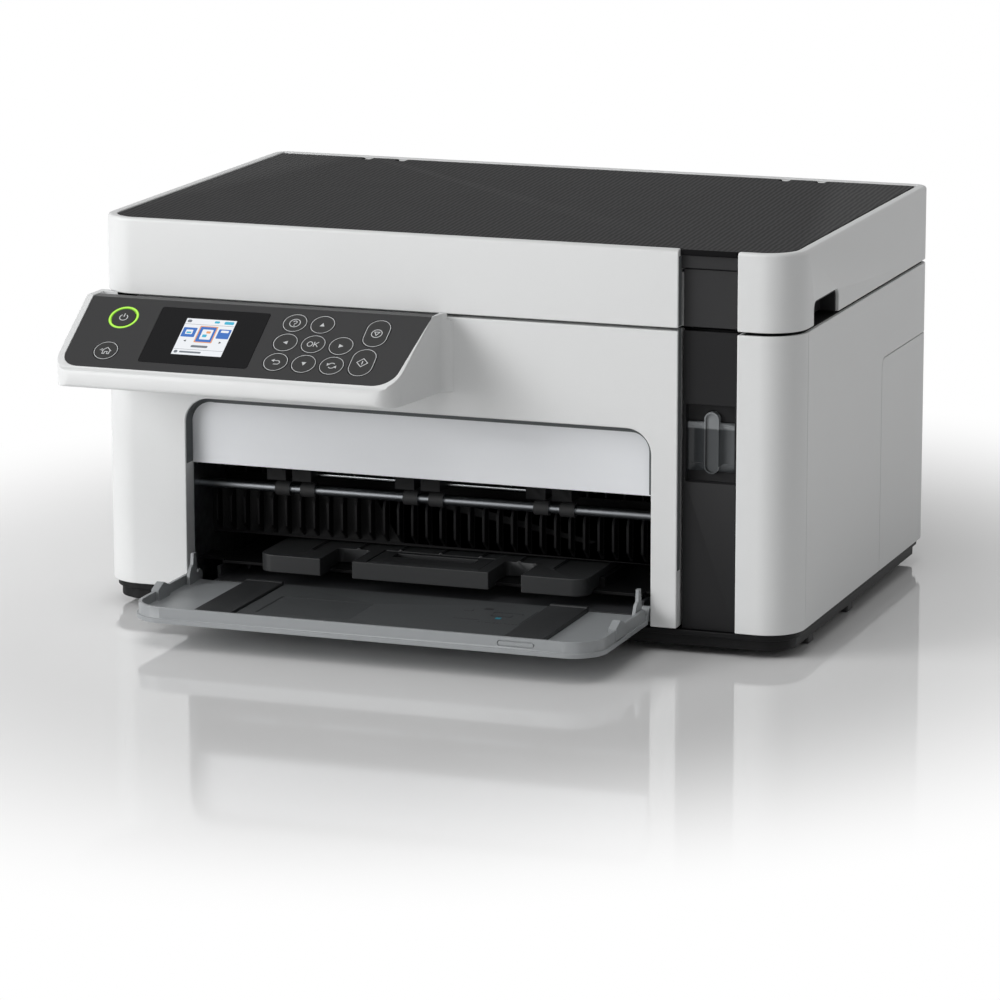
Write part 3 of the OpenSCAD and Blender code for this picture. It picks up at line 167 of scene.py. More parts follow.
EDGE = 0.6  # width of the rounding, in millimetres
WELD = 2e-6  # distance at which a solid's loose corners are one, in metres
FLAT = 0.4  # turn below which two triangles are one flat face, in degrees


def moulded(name, colour, rough, grain=0.9, depth=0.012, tint=0.02, ior=1.53, spec=0.5):
    """A moulded plastic: its colour is slightly cloudy, and a fine pebbled texture breaks its shine.

    The clouds are about 110 mm wide. grain is the size of a pebble and depth its height, in
    millimetres; real pebbles are a fifth of that, too fine to show."""
    made, tree = new_material(name)
    place = add(tree, "TexCoord")
    cloud = add(tree, "TexNoise", {"Scale": 9.0, "Detail": 2.0}, Vector=place.outputs["Object"])
    base = linear(colour)
    low = [c * (1 - tint) for c in base[:3]] + [1]
    high = [min(1, c * (1 + tint)) for c in base[:3]] + [1]
    shade = add(tree, "Mix", {"data_type": "RGBA", "_6": low, "_7": high}, _0=cloud)
    pebble = add(tree, "TexNoise", {"Scale": 1000 / grain, "Detail": 1.5},
                 Vector=place.outputs["Object"])
    bump = add(tree, "Bump", {"Strength": 0.35, "Distance": depth / 1000}, Height=pebble.outputs[0])
    rub = add(tree, "MapRange", {"To_Min": rough - 0.03, "To_Max": rough + 0.05}, Value=pebble.outputs[0])
    skin = add(tree, "BsdfPrincipled", {"IOR": ior, "Specular_IOR_Level": spec},
               Base_Color=shade.outputs[2], Roughness=rub, Normal=bump)
    add(tree, "OutputMaterial", Surface=skin)
    return made


def eased(node, body, materials, width=EDGE, pick=None, tag="moulding"):
    """A copy of a CAD solid with its sharp edges rounded, standing for that solid.

    The copy's loose triangles are merged, flat areas joined, and every edge that turns by more
    than 35 degrees gets a bevel of the given width. pick gives each face's material index from
    the faces' middles and normals, in millimetres."""
    sharp = math.radians(35)
    work = bmesh.new()
    work.from_mesh(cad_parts[node].data)
    bmesh.ops.remove_doubles(work, verts=work.verts, dist=WELD)
    bmesh.ops.dissolve_limit(work, angle_limit=math.radians(FLAT), verts=work.verts, edges=work.edges,
                             delimit=set())
    mesh = bpy.data.meshes.new(node + "_" + tag)
    work.to_mesh(mesh)
    work.free()
    piece = bpy.data.objects.new(node + "_" + tag, mesh)
    bpy.context.collection.objects.link(piece)
    for one in materials:
        mesh.materials.append(one)
    count = len(mesh.polygons)
    if pick is not None:
        middles, normals = np.zeros(count * 3), np.zeros(count * 3)
        mesh.polygons.foreach_get("center", middles)
        mesh.polygons.foreach_get("normal", normals)
        index = pick(middles.reshape(-1, 3) * 1000, normals.reshape(-1, 3)).astype(np.int32)
        mesh.polygons.foreach_set("material_index", index)
    mesh.shade_smooth()
    mesh.set_sharp_from_angle(angle=sharp)
    if width:
        bevel = piece.modifiers.new("edges", "BEVEL")
        bevel.width, bevel.segments = width / 1000, 2
        bevel.limit_method, bevel.angle_limit = "ANGLE", sharp
        bevel.use_clamp_overlap = False
        bevel.harden_normals = True
        bevel.miter_outer = "MITER_ARC"
    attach(piece, body)
    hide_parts(node)
    return piece


# Neutral white with a dull, even shine that shows every bend of a cover as a soft step of grey.
white_abs = moulded("white_abs_spark_textured", "#dcdddd", 0.5)
for cover in ("front_frame", "right_corner_cover", "right_side_cover", "right_rear_cover",
              "left_side_cover"):
    eased(cover, "body", [white_abs])
for cover in ("rear_cover", "panel_housing"):
    eased(cover, "body", [white_abs], 0.3)
eased("scanner_housing", "scanner", [white_abs])

# A shade cooler and smoother than the covers, so that the recessed panel reads as another part, and paler
# than the covers as painted light against the shade of the recess.
pale_abs_painted_light = moulded("pale_grey_abs_satin_painted_light", "#e9ebee", 0.42, grain=1.2, depth=0.006)
eased("recess_panel", "body", [pale_abs_painted_light], 0.5)


def slabs(rows, low, high):
    """Thin upright boxes over rectangles, from rows of x0, y0, x1, y1 in millimetres."""
    x0, y0, x1, y1 = np.asarray(rows, float).T
    pairs = ((x0, y0), (x1, y0), (x1, y1), (x0, y1))
    corners = np.stack([np.stack([a, b + FRONT], 1) for a, b in pairs], 1)
    n = len(x0)
    points = np.concatenate([np.concatenate([corners, np.full((n, 4, 1), z)], 2) for z in (low, high)], 1)
    one = np.array([(3, 2, 1, 0), (4, 5, 6, 7), (0, 1, 5, 4), (1, 2, 6, 5), (2, 3, 7, 6), (3, 0, 4, 7)])
    faces = one[None] + 8 * np.arange(n)[:, None, None]
    return points.reshape(-1, 3), faces.reshape(-1, 4).tolist()


def edge_strip(left, right, foot, top, radius, widths, depth, thick):
    """A strip along the left, top and right of a recess with two round upper corners.

    The outer edge follows the outline, with 13 points to each quarter circle. The inner edge lies
    inside it, square to the outline, by three widths: one for the left, the top and the right,
    blended over the corners. The strip starts at depth behind the front and is thick from there."""
    share = np.linspace(0, 1, 13)
    c, n = np.cos(share * math.pi / 2), np.sin(share * math.pi / 2)
    x = np.concatenate([[left], left + radius - radius * c, right - radius + radius * n, [right]])
    z = np.concatenate([[foot], top - radius + radius * n, top - radius + radius * c, [foot]])
    way_x = np.concatenate([[1], c, -n, [-1]])
    way_z = np.concatenate([[0], -n, -c, [0]])
    left_wide, top_wide, right_wide = widths
    wide = np.concatenate([[left_wide], left_wide + (top_wide - left_wide) * share,
                           top_wide + (right_wide - top_wide) * share, [right_wide]])
    in_x, in_z = x + way_x * wide, z + way_z * wide
    ring = [(x, depth, z), (in_x, depth, in_z), (in_x, depth + thick, in_z), (x, depth + thick, z)]
    points = np.stack([np.stack([a, np.full(len(a), y + FRONT), h], 1) for a, y, h in ring], 1)
    start = 4 * np.arange(len(x) - 1)
    faces = np.concatenate([np.stack([start + j, start + 4 + j, start + 4 + i, start + i], 1)
                            for i, j in ((0, 1), (1, 2), (2, 3), (3, 0))]).tolist()
    last = 4 * len(x)
    return points.reshape(-1, 3), faces + [[0, 1, 2, 3], [last - 1, last - 2, last - 3, last - 4]]


# A grey strip on the recessed panel below the frame and a thin grey lining on the cut side of the frame
# are painted shade: they make the dark line round the recess.
painted_shade_grey = moulded("painted_shade_lining_grey", "#66696a", 0.9, grain=1.6, depth=0.05, spec=0.05)
for name, widths, near, thick in (("recess_lining", (0.2, 0.2, 0.2), 0.9, 7.5),
                                  ("recess_seal_strip", (0.3, 3.4, 3.5), 8.3, 0.25)):
    strip = edge_strip(left=-138.95, right=112.45, foot=78.2, top=112.95, radius=12.95, widths=widths,
                       depth=near, thick=thick)
    put_mesh(name, *strip, "body", painted_shade_grey, slot="black_plastic")

# Deep black that hardly shines, so the plinth looks like the shadow below the white covers.
black_abs = moulded("black_abs_spark_textured", "#101011", 0.5, depth=0.015, spec=0.15)
eased("base_pan", "body", [black_abs], 0.5)
eased("upper_frame", "body", [black_abs], 0.3)
# The column is charcoal and smoother than the plinth; below the lid it is painted a little darker, as
# painted shade.
column_abs = moulded("ink_column_abs", "#2e2e2f", 0.45, spec=0.16)
eased("lid_inserts", "scanner", [column_abs], 0.4)
column_abs_painted_shade = moulded("ink_column_abs_painted_shade", "#232324", 0.45, spec=0.1)
eased("column_cover", "body", [column_abs_painted_shade], 0.4)

# The cut side of the white covers beside the column carries the same thin grey lining of painted shade.
column_side = [(126.2, 0.8, 126.35, 5.4)]
put_mesh("column_painted_shade_lining", *slabs(column_side, 42, 164.6), "body", painted_shade_grey, slot="black_plastic")
put_mesh("column_painted_shade_lining_lid", *slabs(column_side, 165.8, 200.8), "scanner", painted_shade_grey, slot="black_plastic")

# ---- Control panel
# A satin dark film over a moulded wedge. The keys are cut flush in the film, with their symbols and
# outlines printed in pale grey, and the power key sits in a clear ring lit green from below.

TILT = math.radians(33.6)
FACE = (-11.5 + FRONT, 165.1)  # upper edge of the slope, its y and z in millimetres


def on_face(across, down, out):
    """Points on the slope: across stays, down runs down the slope, out leaves it squarely."""
    across, down, out = np.broadcast_arrays(*[np.asarray(v, float) for v in (across, down, out)])
    return np.stack([across, FACE[0] - down * math.cos(TILT) - out * math.sin(TILT),
                     FACE[1] - down * math.sin(TILT) + out * math.cos(TILT)], -1)


def printed_line(path, width, low, high, closed=False):
    """A stroke of ink: a flat rectangular section carried along a path of (across, down) points.

    At each point the section stands across the mean direction of its two neighbours, so its four
    corners are path +/- half the width along that normal, at the two heights."""
    p = np.asarray(path, float)
    ahead = np.roll(p, -1, 0) - p
    behind = p - np.roll(p, 1, 0)
    if not closed:
        ahead[-1], behind[0] = behind[-1], ahead[0]
    far_ahead = np.linalg.norm(ahead, axis=1)
    way = ahead / far_ahead[:, None] + behind / np.linalg.norm(behind, axis=1)[:, None]
    way /= np.linalg.norm(way, axis=1)[:, None]
    cosine = np.clip((way * ahead).sum(1) / far_ahead, 0.5, 1)
    side = np.stack([-way[:, 1], way[:, 0]], 1) * (width / 2 / cosine)[:, None]
    ring = [(p + side, high), (p - side, high), (p - side, low), (p + side, low)]
    points = np.stack([on_face(q[:, 0], q[:, 1], h) for q, h in ring], 1).reshape(-1, 3)
    n = len(p)
    a = np.arange(n if closed else n - 1)
    b = (a + 1) % n
    faces = np.concatenate([np.stack([a * 4 + i, b * 4 + i, b * 4 + j, a * 4 + j], 1)
                            for i, j in ((0, 1), (1, 2), (2, 3), (3, 0))]).tolist()
    if not closed:
        faces += [[0, 1, 2, 3], [4 * n - 1, 4 * n - 2, 4 * n - 3, 4 * n - 4]]
    return points, faces


def printed_patch(outline, low, high):
    """A filled patch of ink: an outline in (across, down) as a thin prism between two heights."""
    q = np.asarray(outline, float)
    n = len(q)
    points = np.concatenate([on_face(q[:, 0], q[:, 1], high), on_face(q[:, 0], q[:, 1], low)])
    k = np.arange(n)
    faces = [list(range(n)), list(range(2 * n - 1, n - 1, -1))]
    faces += np.stack([k, k + n, (k + 1) % n + n, (k + 1) % n], 1).tolist()
    return points, faces


def arc(middle, radius, start, stop, count=24, stretch=1.0):
    """Points of an arc in degrees about a middle, its second axis stretched."""
    t = np.radians(np.linspace(start, stop, count))
    return np.stack([middle[0] + radius * np.cos(t), middle[1] + stretch * radius * np.sin(t)], 1)


def key_outline(middle, length, radius):
    """The printed outline of a key: a circle, or a slot whose half circles are drawn apart."""
    if length == 0:
        return arc(middle, radius, 0, 352.5, 48)
    shift = length / 2 - radius
    top, bottom = (middle[0], middle[1] - shift), (middle[0], middle[1] + shift)
    return np.concatenate([arc(bottom, radius, 0, 180, 25), arc(top, radius, 180, 360, 25)])


def joined(parts):
    """Several (points, faces) as one."""
    points, faces, start = [], [], 0
    for p, f in parts:
        points.append(p)
        faces += [np.add(one, start).tolist() for one in f]
        start += len(p)
    return np.concatenate(points), faces


def outward(piece):
    """Merges doubles and turns every face of a closed piece outwards."""
    work = bmesh.new()
    work.from_mesh(piece.data)
    bmesh.ops.remove_doubles(work, verts=work.verts, dist=1e-7)
    bmesh.ops.recalc_face_normals(work, faces=work.faces)
    work.to_mesh(piece.data)
    work.free()
    return piece


# The film is nearly smooth: its satin shine runs from pale at the left to dark at the right.
film = {"grain": 1.0, "depth": 0.004, "tint": 0.015, "spec": 0.3}
panel_film = moulded("panel_film_satin", "#262627", 0.4, **film)
eased("panel_face", "body", [panel_film], 0.25)
key_film = moulded("key_film_satin", "#252525", 0.4, **film)

# Screen printed ink: a flat pale grey, with specks of about 1 mm in its shine.
ink, tree = new_material("pale_screen_ink")
speck = add(tree, "TexNoise", {"Scale": 900.0})
rub = add(tree, "MapRange", {"To_Min": 0.38, "To_Max": 0.52}, Value=speck.outputs[0])
skin = add(tree, "BsdfPrincipled", {"Base_Color": linear("#c9cbcc")}, Roughness=rub)
add(tree, "OutputMaterial", Surface=skin)

INK = (-0.01, 0.035)  # foot and top of a print above the face, in millimetres
KEY_RADIUS = 6.12
# Each key's middle, across and down the slope, and the length of the two long ones.
KEYS = {"power": (-162, 14.2, 0), "home": (-163, 38.7, 0), "help": (-69.3, 10.4, 0),
        "up": (-54.3, 10.4, 0), "left": (-69.8, 24.6, 0), "ok": (-54.8, 24.6, 0),
        "right": (-39.8, 24.6, 0), "back": (-70.3, 38.8, 0), "down": (-55.3, 38.8, 0),
        "cycle": (-40.3, 38.8, 0), "stop": (-24, 14.2, 18.8), "start": (-25, 35.3, 18.8)}


def arrow(tip, way, length, half, layer=INK):
    """A filled triangle with its tip at a point, pointing along a direction."""
    tip, way = np.asarray(tip, float), np.asarray(way, float)
    side = np.array([-way[1], way[0]])
    return printed_patch([tip, tip - length * way + half * side, tip - length * way - half * side], *layer)


def stroke(at, path, width=0.42, closed=False):
    """A stroke of ink along a path of points given from a key's middle."""
    return printed_line(np.asarray(at, float) + np.asarray(path, float), width, *INK, closed=closed)


def symbol(name, x, y):
    """The strokes and patches of one key's symbol about its middle."""
    at = np.array([x, y])
    if name == "power":
        return [printed_line(arc(at, 2.1, -55, 235, 40), 0.5, *INK), stroke(at, [(0, -2.9), (0, -0.4)], 0.5)]
    if name == "home":
        walls = [(-1.4, -0.2), (-1.4, 2.3), (-0.3, 2.3), (-0.3, 0.8), (1.1, 0.8), (1.1, 2.3), (2.2, 2.3),
                 (2.2, -0.2)]
        return [stroke(at, [(-2.2, 0.3), (0.4, -2.2), (3.0, 0.3)]), stroke(at, walls),
                stroke(at, [(-3.2, 0.0), (-2.0, -1.2)], 0.36)]
    if name == "help":
        bow = arc(at + (0, -0.6), 0.95, 190, 400, 20)
        hook = np.concatenate([bow, [at + (0.05, 0.45), at + (0.0, 0.95)]])
        return [printed_line(arc(at, 2.75, 0, 350, 36), 0.4, *INK, closed=True),
                printed_line(hook, 0.42, *INK), printed_patch(arc(at + (0, 1.65), 0.32, 0, 330, 12), *INK)]
    if name in ("up", "down", "left", "right"):
        way = {"up": (0, -1), "down": (0, 1), "left": (-1, 0), "right": (1, 0)}[name]
        return [arrow(at + 1.25 * np.array(way), way, 2.4, 1.25)]
    if name == "ok":
        return [printed_line(arc(at + (-1.75, 0), 1.35, 0, 345, 30, 1.2), 0.42, *INK, closed=True),
                stroke(at, [(0.5, -1.75), (0.5, 1.75)]), stroke(at, [(2.7, -1.75), (0.6, 0.35)]),
                stroke(at, [(1.15, -0.2), (2.8, 1.75)])]
    if name == "back":
        turn = arc(at + (0.9, 0.25), 1.25, -90, 90, 16)
        loop = np.concatenate([[at + (-1.2, -1.0)], turn, [at + (-1.0, 1.5)]])
        return [printed_line(loop, 0.45, *INK), arrow(at + (-2.6, -1.0), (-1, 0), 1.6, 1.0)]
    if name == "cycle":
        return [printed_line(arc(at, 1.8, 205, 320, 16), 0.45, *INK),
                arrow(at + (-2.5, 0.3), (-0.35, 0.94), 1.7, 0.95),
                printed_line(arc(at, 1.8, 25, 140, 16), 0.45, *INK),
                arrow(at + (2.5, -0.3), (0.35, -0.94), 1.7, 0.95)]
    if name == "stop":
        return [printed_line(arc(at, 2.75, 0, 350, 36), 0.42, *INK, closed=True),
                stroke(at, [(-1.35, -1.1), (1.35, -1.1), (0, 1.3)], closed=True)]
    return [stroke(at, [(0, -2.9), (2.9, 0), (0, 2.9), (-2.9, 0)], closed=True),
            stroke(at, [(0, -1.2), (0, 1.2)], 0.5)]


for name, (x, y, length) in KEYS.items():
    eased("button_" + name, "button_" + name, [key_film], 0.15, tag="cap")
    marks = symbol(name, x, y)
    if name != "power":
        marks.append(printed_line(key_outline((x, y), length, KEY_RADIUS), 0.3, *INK, closed=True))
    outward(put_mesh("print_" + name, *joined(marks), "button_" + name, ink, slot="button_plastic"))

# ---- Power light ring
# A clear acrylic light pipe with a frosted end, lit yellow-green by a lamp on the board. Its glow
# is even round the ring and a little paler along the middle of its width.

RING_IN = 6.7  # inner and outer radius of the ring, in millimetres
RING_OUT = 7.95
ring_at = on_face(KEYS["power"][0], KEYS["power"][1], 0) / 1000
ring_glow, tree = new_material("frosted_acrylic_lit_green")
place = add(tree, "TexCoord")
reach = add(tree, "VectorMath", {"operation": "DISTANCE", "_1": ring_at}, _0=place.outputs["Object"])
off = add(tree, "Math", {"operation": "SUBTRACT", "_1": (RING_IN + RING_OUT) / 2 / 1000},
          _0=reach.outputs["Value"])
side = add(tree, "Math", {"operation": "ABSOLUTE"}, _0=off)
edge = add(tree, "MapRange", {"From_Max": (RING_OUT - RING_IN) / 2 / 1000}, Value=side)
tone = add(tree, "Mix", {"data_type": "RGBA", "_6": linear("#c4f55c"), "_7": linear("#6fae22")}, _0=edge)
skin = add(tree, "BsdfPrincipled", {"Base_Color": linear("#5f8f26"), "Roughness": 0.35, "IOR": 1.49,
                                    "Emission_Strength": 0.9}, Emission_Color=tone.outputs[2])
add(tree, "OutputMaterial", Surface=skin)
eased("power_ring", "body", [ring_glow], 0.12, tag="light_pipe")

# ---- Screen
# A tinted acrylic window polished to a mirror, and behind it a bright colour display. Its picture is
# a plain menu: a row of tiles with the middle one framed, and bars where a menu has its words.

# Almost black and glossy; its skin waves by a hair every 33 mm, as a moulded window's does.
window_acrylic, tree = new_material("tinted_acrylic_polished")
place = add(tree, "TexCoord")
wave = add(tree, "TexNoise", {"Scale": 30.0}, Vector=place.outputs["Object"])
bump = add(tree, "Bump", {"Strength": 0.05, "Distance": 0.0002}, Height=wave.outputs[0])
skin = add(tree, "BsdfPrincipled", {"Base_Color": linear("#0e0e10"), "Roughness": 0.09, "IOR": 1.49,
                                    "Specular_IOR_Level": 0.14}, Normal=bump)
add(tree, "OutputMaterial", Surface=skin)
eased("screen_window", "body", [window_acrylic], 0.2, tag="window")


def display_colour(name, colour, strength=0.92):
    """A lit colour of the display: black body, its own light, faint pixel rows 0.4 mm apart.

    The real rows are half as far apart, too fine to show."""
    made, tree = new_material(name)
    place = add(tree, "TexCoord")
    rows = add(tree, "TexWave", {"wave_type": "BANDS", "bands_direction": "X", "Scale": 800.0},
               Vector=place.outputs["Object"])
    level = add(tree, "MapRange", {"To_Min": strength * 0.97, "To_Max": strength}, Value=rows.outputs[0])
    skin = add(tree, "BsdfPrincipled", {"Base_Color": (0.01, 0.01, 0.01, 1), "Roughness": 0.12, "IOR": 1.49,
                                        "Emission_Color": linear(colour)}, Emission_Strength=level)
    add(tree, "OutputMaterial", Surface=skin)
    return made


MENU = (-127.5, 11.8)  # the picture's upper left corner, across and down the slope


def tile(x0, v0, x1, v1, layer, corner=0.4):
    """A rounded rectangle of the menu; each layer lies 0.012 mm above the last."""
    x0, x1 = MENU[0] + x0, MENU[0] + x1
    v0, v1 = MENU[1] + v0, MENU[1] + v1
    corners = [((x1 - corner, v1 - corner), 0), ((x0 + corner, v1 - corner), 90),
               ((x0 + corner, v0 + corner), 180), ((x1 - corner, v0 + corner), 270)]
    outline = np.concatenate([arc(c, corner, a, a + 90, 5) for c, a in corners])
    return printed_patch(outline, -0.01, 0.02 + 0.012 * layer)


# Each colour's rectangles: left, upper, right and lower edge, layer, and radius of the corners.
menu = {
    "display_white": ("#f4f7fb", [(0, 0, 27.2, 26.2, 0, 0.2), (11.2, 7.4, 17.0, 14.6, 4),
                                  (2.4, 8.2, 6.2, 11.4, 4), (21.2, 7.4, 25.4, 9.0, 4)]),
    "display_blue": ("#2f6fc4", [(0.6, 6.6, 8.0, 13.4, 3), (9.6, 5.6, 18.2, 16.4, 3),
                                 (19.8, 6.6, 26.6, 13.4, 3)]),
    "display_cyan": ("#35b6d8", [(15.6, 1.0, 18.4, 2.6, 1, 0.6), (21.0, 0.9, 26.2, 3.0, 1, 0.6),
                                 (12.2, 11.0, 14.6, 13.0, 5), (3.0, 9.6, 5.6, 10.8, 5)]),
    "display_orange": ("#f0a46a", [(9.0, 5.0, 18.8, 17.0, 2), (13.6, 8.6, 16.0, 10.2, 5)]),
    "display_grey": ("#70777f", [(8.6, 19.0, 17.8, 20.6, 1, 0.7), (0.8, 0.9, 3.2, 2.9, 1, 0.8),
                                 (3.8, 23.6, 15.6, 24.8, 1, 0.5), (0.9, 23.2, 2.9, 25.2, 1, 0.9),
                                 (0.2, 4.0, 27.0, 4.2, 1, 0.08), (0.2, 22.2, 27.0, 22.4, 1, 0.08)]),
}
lit = {name: (display_colour(name + "_light", colour), [tile(*row) for row in rows])
       for name, (colour, rows) in menu.items()}
lit["display_arrows"] = (display_colour("display_dark_light", "#2b2f36"), [
    arrow((MENU[0] + across, MENU[1] + 16.2), (way, 0), 1.3, 0.8, (-0.01, 0.05))
    for across, way in ((3.4, -1), (24.0, 1))])
for name, (glow, shapes) in lit.items():
    outward(put_mesh(name, *joined(shapes), "body", glow, slot="display_module"))

# Green lacquer over copper: paler lines about 4 mm apart show where the tracks lie.
board_green, tree = new_material("solder_resist_on_laminate")
place = add(tree, "TexCoord")
tracks = add(tree, "TexVoronoi", {"feature": "DISTANCE_TO_EDGE", "Scale": 260.0},
             Vector=place.outputs["Object"])
track = add(tree, "MapRange", {"From_Min": 0.03, "From_Max": 0.06}, Value=tracks.outputs[0])
tone = add(tree, "Mix", {"data_type": "RGBA", "_6": linear("#3f8a4c"), "_7": linear("#1d5a2b")}, _0=track)
skin = add(tree, "BsdfPrincipled", {"Roughness": 0.3, "IOR": 1.55, "Coat_Weight": 0.3},
           Base_Color=tone.outputs[2])
add(tree, "OutputMaterial", Surface=skin)
switch_black = moulded("switch_nylon", "#26272a", 0.45)  # dull black against the shiny board


def display_parts(middle, normal):
    """Material index of the display's faces: 1 the parts that stand on the board, 11.3 mm below."""
    height = (middle - [0, FACE[0], FACE[1]]) @ [0, -math.sin(TILT), math.cos(TILT)]
    return height > -11.3


eased("display", "body", [board_green, switch_black], 0.15, tag="module", pick=display_parts)

# ---- Ink tank
# A tank moulded in smoky translucent polypropylene, seen through the window of the black column. Its
# front has a raised oval whose rim carries a painted highlight outside and painted shade inside. The
# tank's colour darkens towards the left, and above the ink's level the wall is pale.

SIGHT = (141.6, 106.9)  # middle of the raised oval, across and up, in millimetres
SIGHT_STRAIGHT = 11.85  # half the length of its straight sides
RIM_SPLIT = 3.4  # radius between the inside and the outside wall of its rim
RIM_END = 3.9
RIM_DEPTH = (7.45, 8.45)  # depth of the rim's walls behind the body's front
TONE_X = (0.128, 0.156)  # metres: the colour goes from dark at the left end to pale at the right end
INK_LEVEL = (0.1135, 0.1143)
# Smoky and half clear: its colour darkens towards the left, with drifts about 17 mm wide.
smoky, tree = new_material("smoky_polypropylene")
place = add(tree, "TexCoord")
across = add(tree, "SeparateXYZ", (), Vector=place.outputs["Object"])
flow = add(tree, "TexNoise", {"Scale": 60.0, "Detail": 2.0}, Vector=place.outputs["Object"])
lean = add(tree, "Math", {"operation": "MULTIPLY_ADD", "_1": 0.004}, _0=flow.outputs[0],
           _2=across.outputs["X"])
depth = add(tree, "MapRange", {"From_Min": TONE_X[0], "From_Max": TONE_X[1]}, Value=lean)
tone = add(tree, "Mix", {"data_type": "RGBA", "_6": linear("#2b2d2f"), "_7": linear("#55585a")}, _0=depth)
level = add(tree, "MapRange", {"From_Min": INK_LEVEL[0], "From_Max": INK_LEVEL[1]},
            Value=across.outputs["Z"])
above_ink = add(tree, "Mix", {"data_type": "RGBA", "_7": linear("#85888a")}, _0=level,
                _6=tone.outputs[2])
skin = add(tree, "BsdfPrincipled", {"Roughness": 0.22, "IOR": 1.49, "Specular_IOR_Level": 0.3,
                                    "Transmission_Weight": 0.06}, Base_Color=above_ink.outputs[2])
add(tree, "OutputMaterial", Surface=skin)
# The clear rim is coloured as a bright line of painted highlight outside and a dark line of painted shade
# inside.
rim_painted_highlight = moulded("tank_rim_painted_highlight", "#b9bcbe", 0.3, grain=1.2, depth=0.004)
rim_painted_shade = moulded("tank_rim_painted_shade", "#121314", 0.3, grain=1.2, depth=0.004)


def tank_parts(middle, normal):
    """Material index of the tank's faces: 1 outside wall of the raised oval, painted highlight, 2 inside
    wall, painted shade.
    """
    up = np.clip(middle[:, 2] - SIGHT[1], -SIGHT_STRAIGHT, SIGHT_STRAIGHT)
    away = np.hypot(middle[:, 0] - SIGHT[0], middle[:, 2] - SIGHT[1] - up)
    depth = middle[:, 1] - FRONT
    raised = (depth > RIM_DEPTH[0]) & (depth < RIM_DEPTH[1]) & (away < RIM_END)
    return np.where(raised, np.where(away > RIM_SPLIT, 1, 2), 0)


eased("ink_tank", "body", [smoky, rim_painted_highlight, rim_painted_shade], 0, pick=tank_parts)
# Matt and very dark, without a highlight.
rubber = moulded("nitrile_rubber", "#1b1b1c", 0.72, grain=0.7, depth=0.02)
eased("tank_cap", "body", [rubber], 0.4)

# ---- Feet
# Short pads of rubber pushed into the plinth, and four pegs along its sides. They leave a thin
# shadow between the plinth and the table.

eased("feet", "body", [rubber], 0.4)

# ---- Scanner unit
# The lid's white housing carries a pane of float glass and, below it, the black scan head. A white
# foam pad and a black cover lie on the glass. The cover is embossed with fine wavy ribs that run
# from front to back and come and go in patches.

# Clear, faintly green and mirror smooth, with a haze that changes over about 170 mm.
float_glass, tree = new_material("float_glass_polished")
place = add(tree, "TexCoord")
haze = add(tree, "TexNoise", {"Scale": 6.0}, Vector=place.outputs["Object"])
rub = add(tree, "MapRange", {"To_Min": 0.01, "To_Max": 0.03}, Value=haze.outputs[0])
skin = add(tree, "BsdfPrincipled", {"Base_Color": linear("#e9f2ef"), "IOR": 1.52,
                                    "Transmission_Weight": 0.9}, Roughness=rub)
add(tree, "OutputMaterial", Surface=skin)
eased("scanner_glass", "scanner", [float_glass], 0.4, tag="pane")
head_black = moulded("scan_head_abs", "#1e1f21", 0.42)  # satin black, dark behind the glass
eased("scan_head", "scan_head", [head_black], 0.4)

# Matt black ABS with embossed ribs, whose raised tops on upward faces are coloured paler as a painted
# highlight. They stand 2.7 mm apart, coarser than the real ones, so that they show, and the patches in which
# they come and go are about 17 mm wide.
ribbed, tree = new_material("cover_abs_rib_embossed")
place = add(tree, "TexCoord")
RIB_LEAN = math.radians(-4)
turned = add(tree, "Mapping", {"Rotation": (0, 0, RIB_LEAN)}, Vector=place.outputs["Object"])
ribs = add(tree, "TexWave", {"wave_type": "BANDS", "bands_direction": "X", "wave_profile": "SIN",
                             "Scale": 116.0, "Distortion": 1.6, "Detail": 1.0, "Detail_Scale": 1.1},
           Vector=turned)
patches = add(tree, "TexNoise", {"Scale": 60.0, "Detail": 1.0}, Vector=place.outputs["Object"])
height = add(tree, "Math", {"operation": "MULTIPLY"}, _0=ribs.outputs[0], _1=patches.outputs[0])
level_face = add(tree, "NewGeometry")
facing = add(tree, "SeparateXYZ", (), Vector=level_face.outputs["True Normal"])
top_only = add(tree, "MapRange", {"From_Min": 0.9, "From_Max": 0.99}, Value=facing.outputs["Z"])
bump = add(tree, "Bump", {"Distance": 0.00016}, Strength=top_only, Height=height)
raised = add(tree, "Math", {"operation": "MULTIPLY"}, _0=height, _1=top_only)
# Painted highlight: the raised tops of the ribs are coloured paler than the hollows.
tone = add(tree, "Mix", {"data_type": "RGBA", "_6": linear("#151516"), "_7": linear("#242425")}, _0=raised)
rub = add(tree, "MapRange", {"To_Min": 0.46, "To_Max": 0.58}, Value=ribs.outputs[0])
skin = add(tree, "BsdfPrincipled", {"IOR": 1.53, "Specular_IOR_Level": 0.03},
           Base_Color=tone.outputs[2], Roughness=rub, Normal=bump)
add(tree, "OutputMaterial", Surface=skin)
COVER_WALL = 4.4  # depth of the cover's front wall behind the body's front


def cover_parts(middle, normal):
    """Material index of the cover's faces: 1 the plain front wall that continues the ink column."""
    return (normal[:, 1] < -0.9) & (np.abs(middle[:, 1] - FRONT - COVER_WALL) < 0.2)


eased("document_cover", "document_cover", [ribbed, column_abs], 0.7, pick=cover_parts)

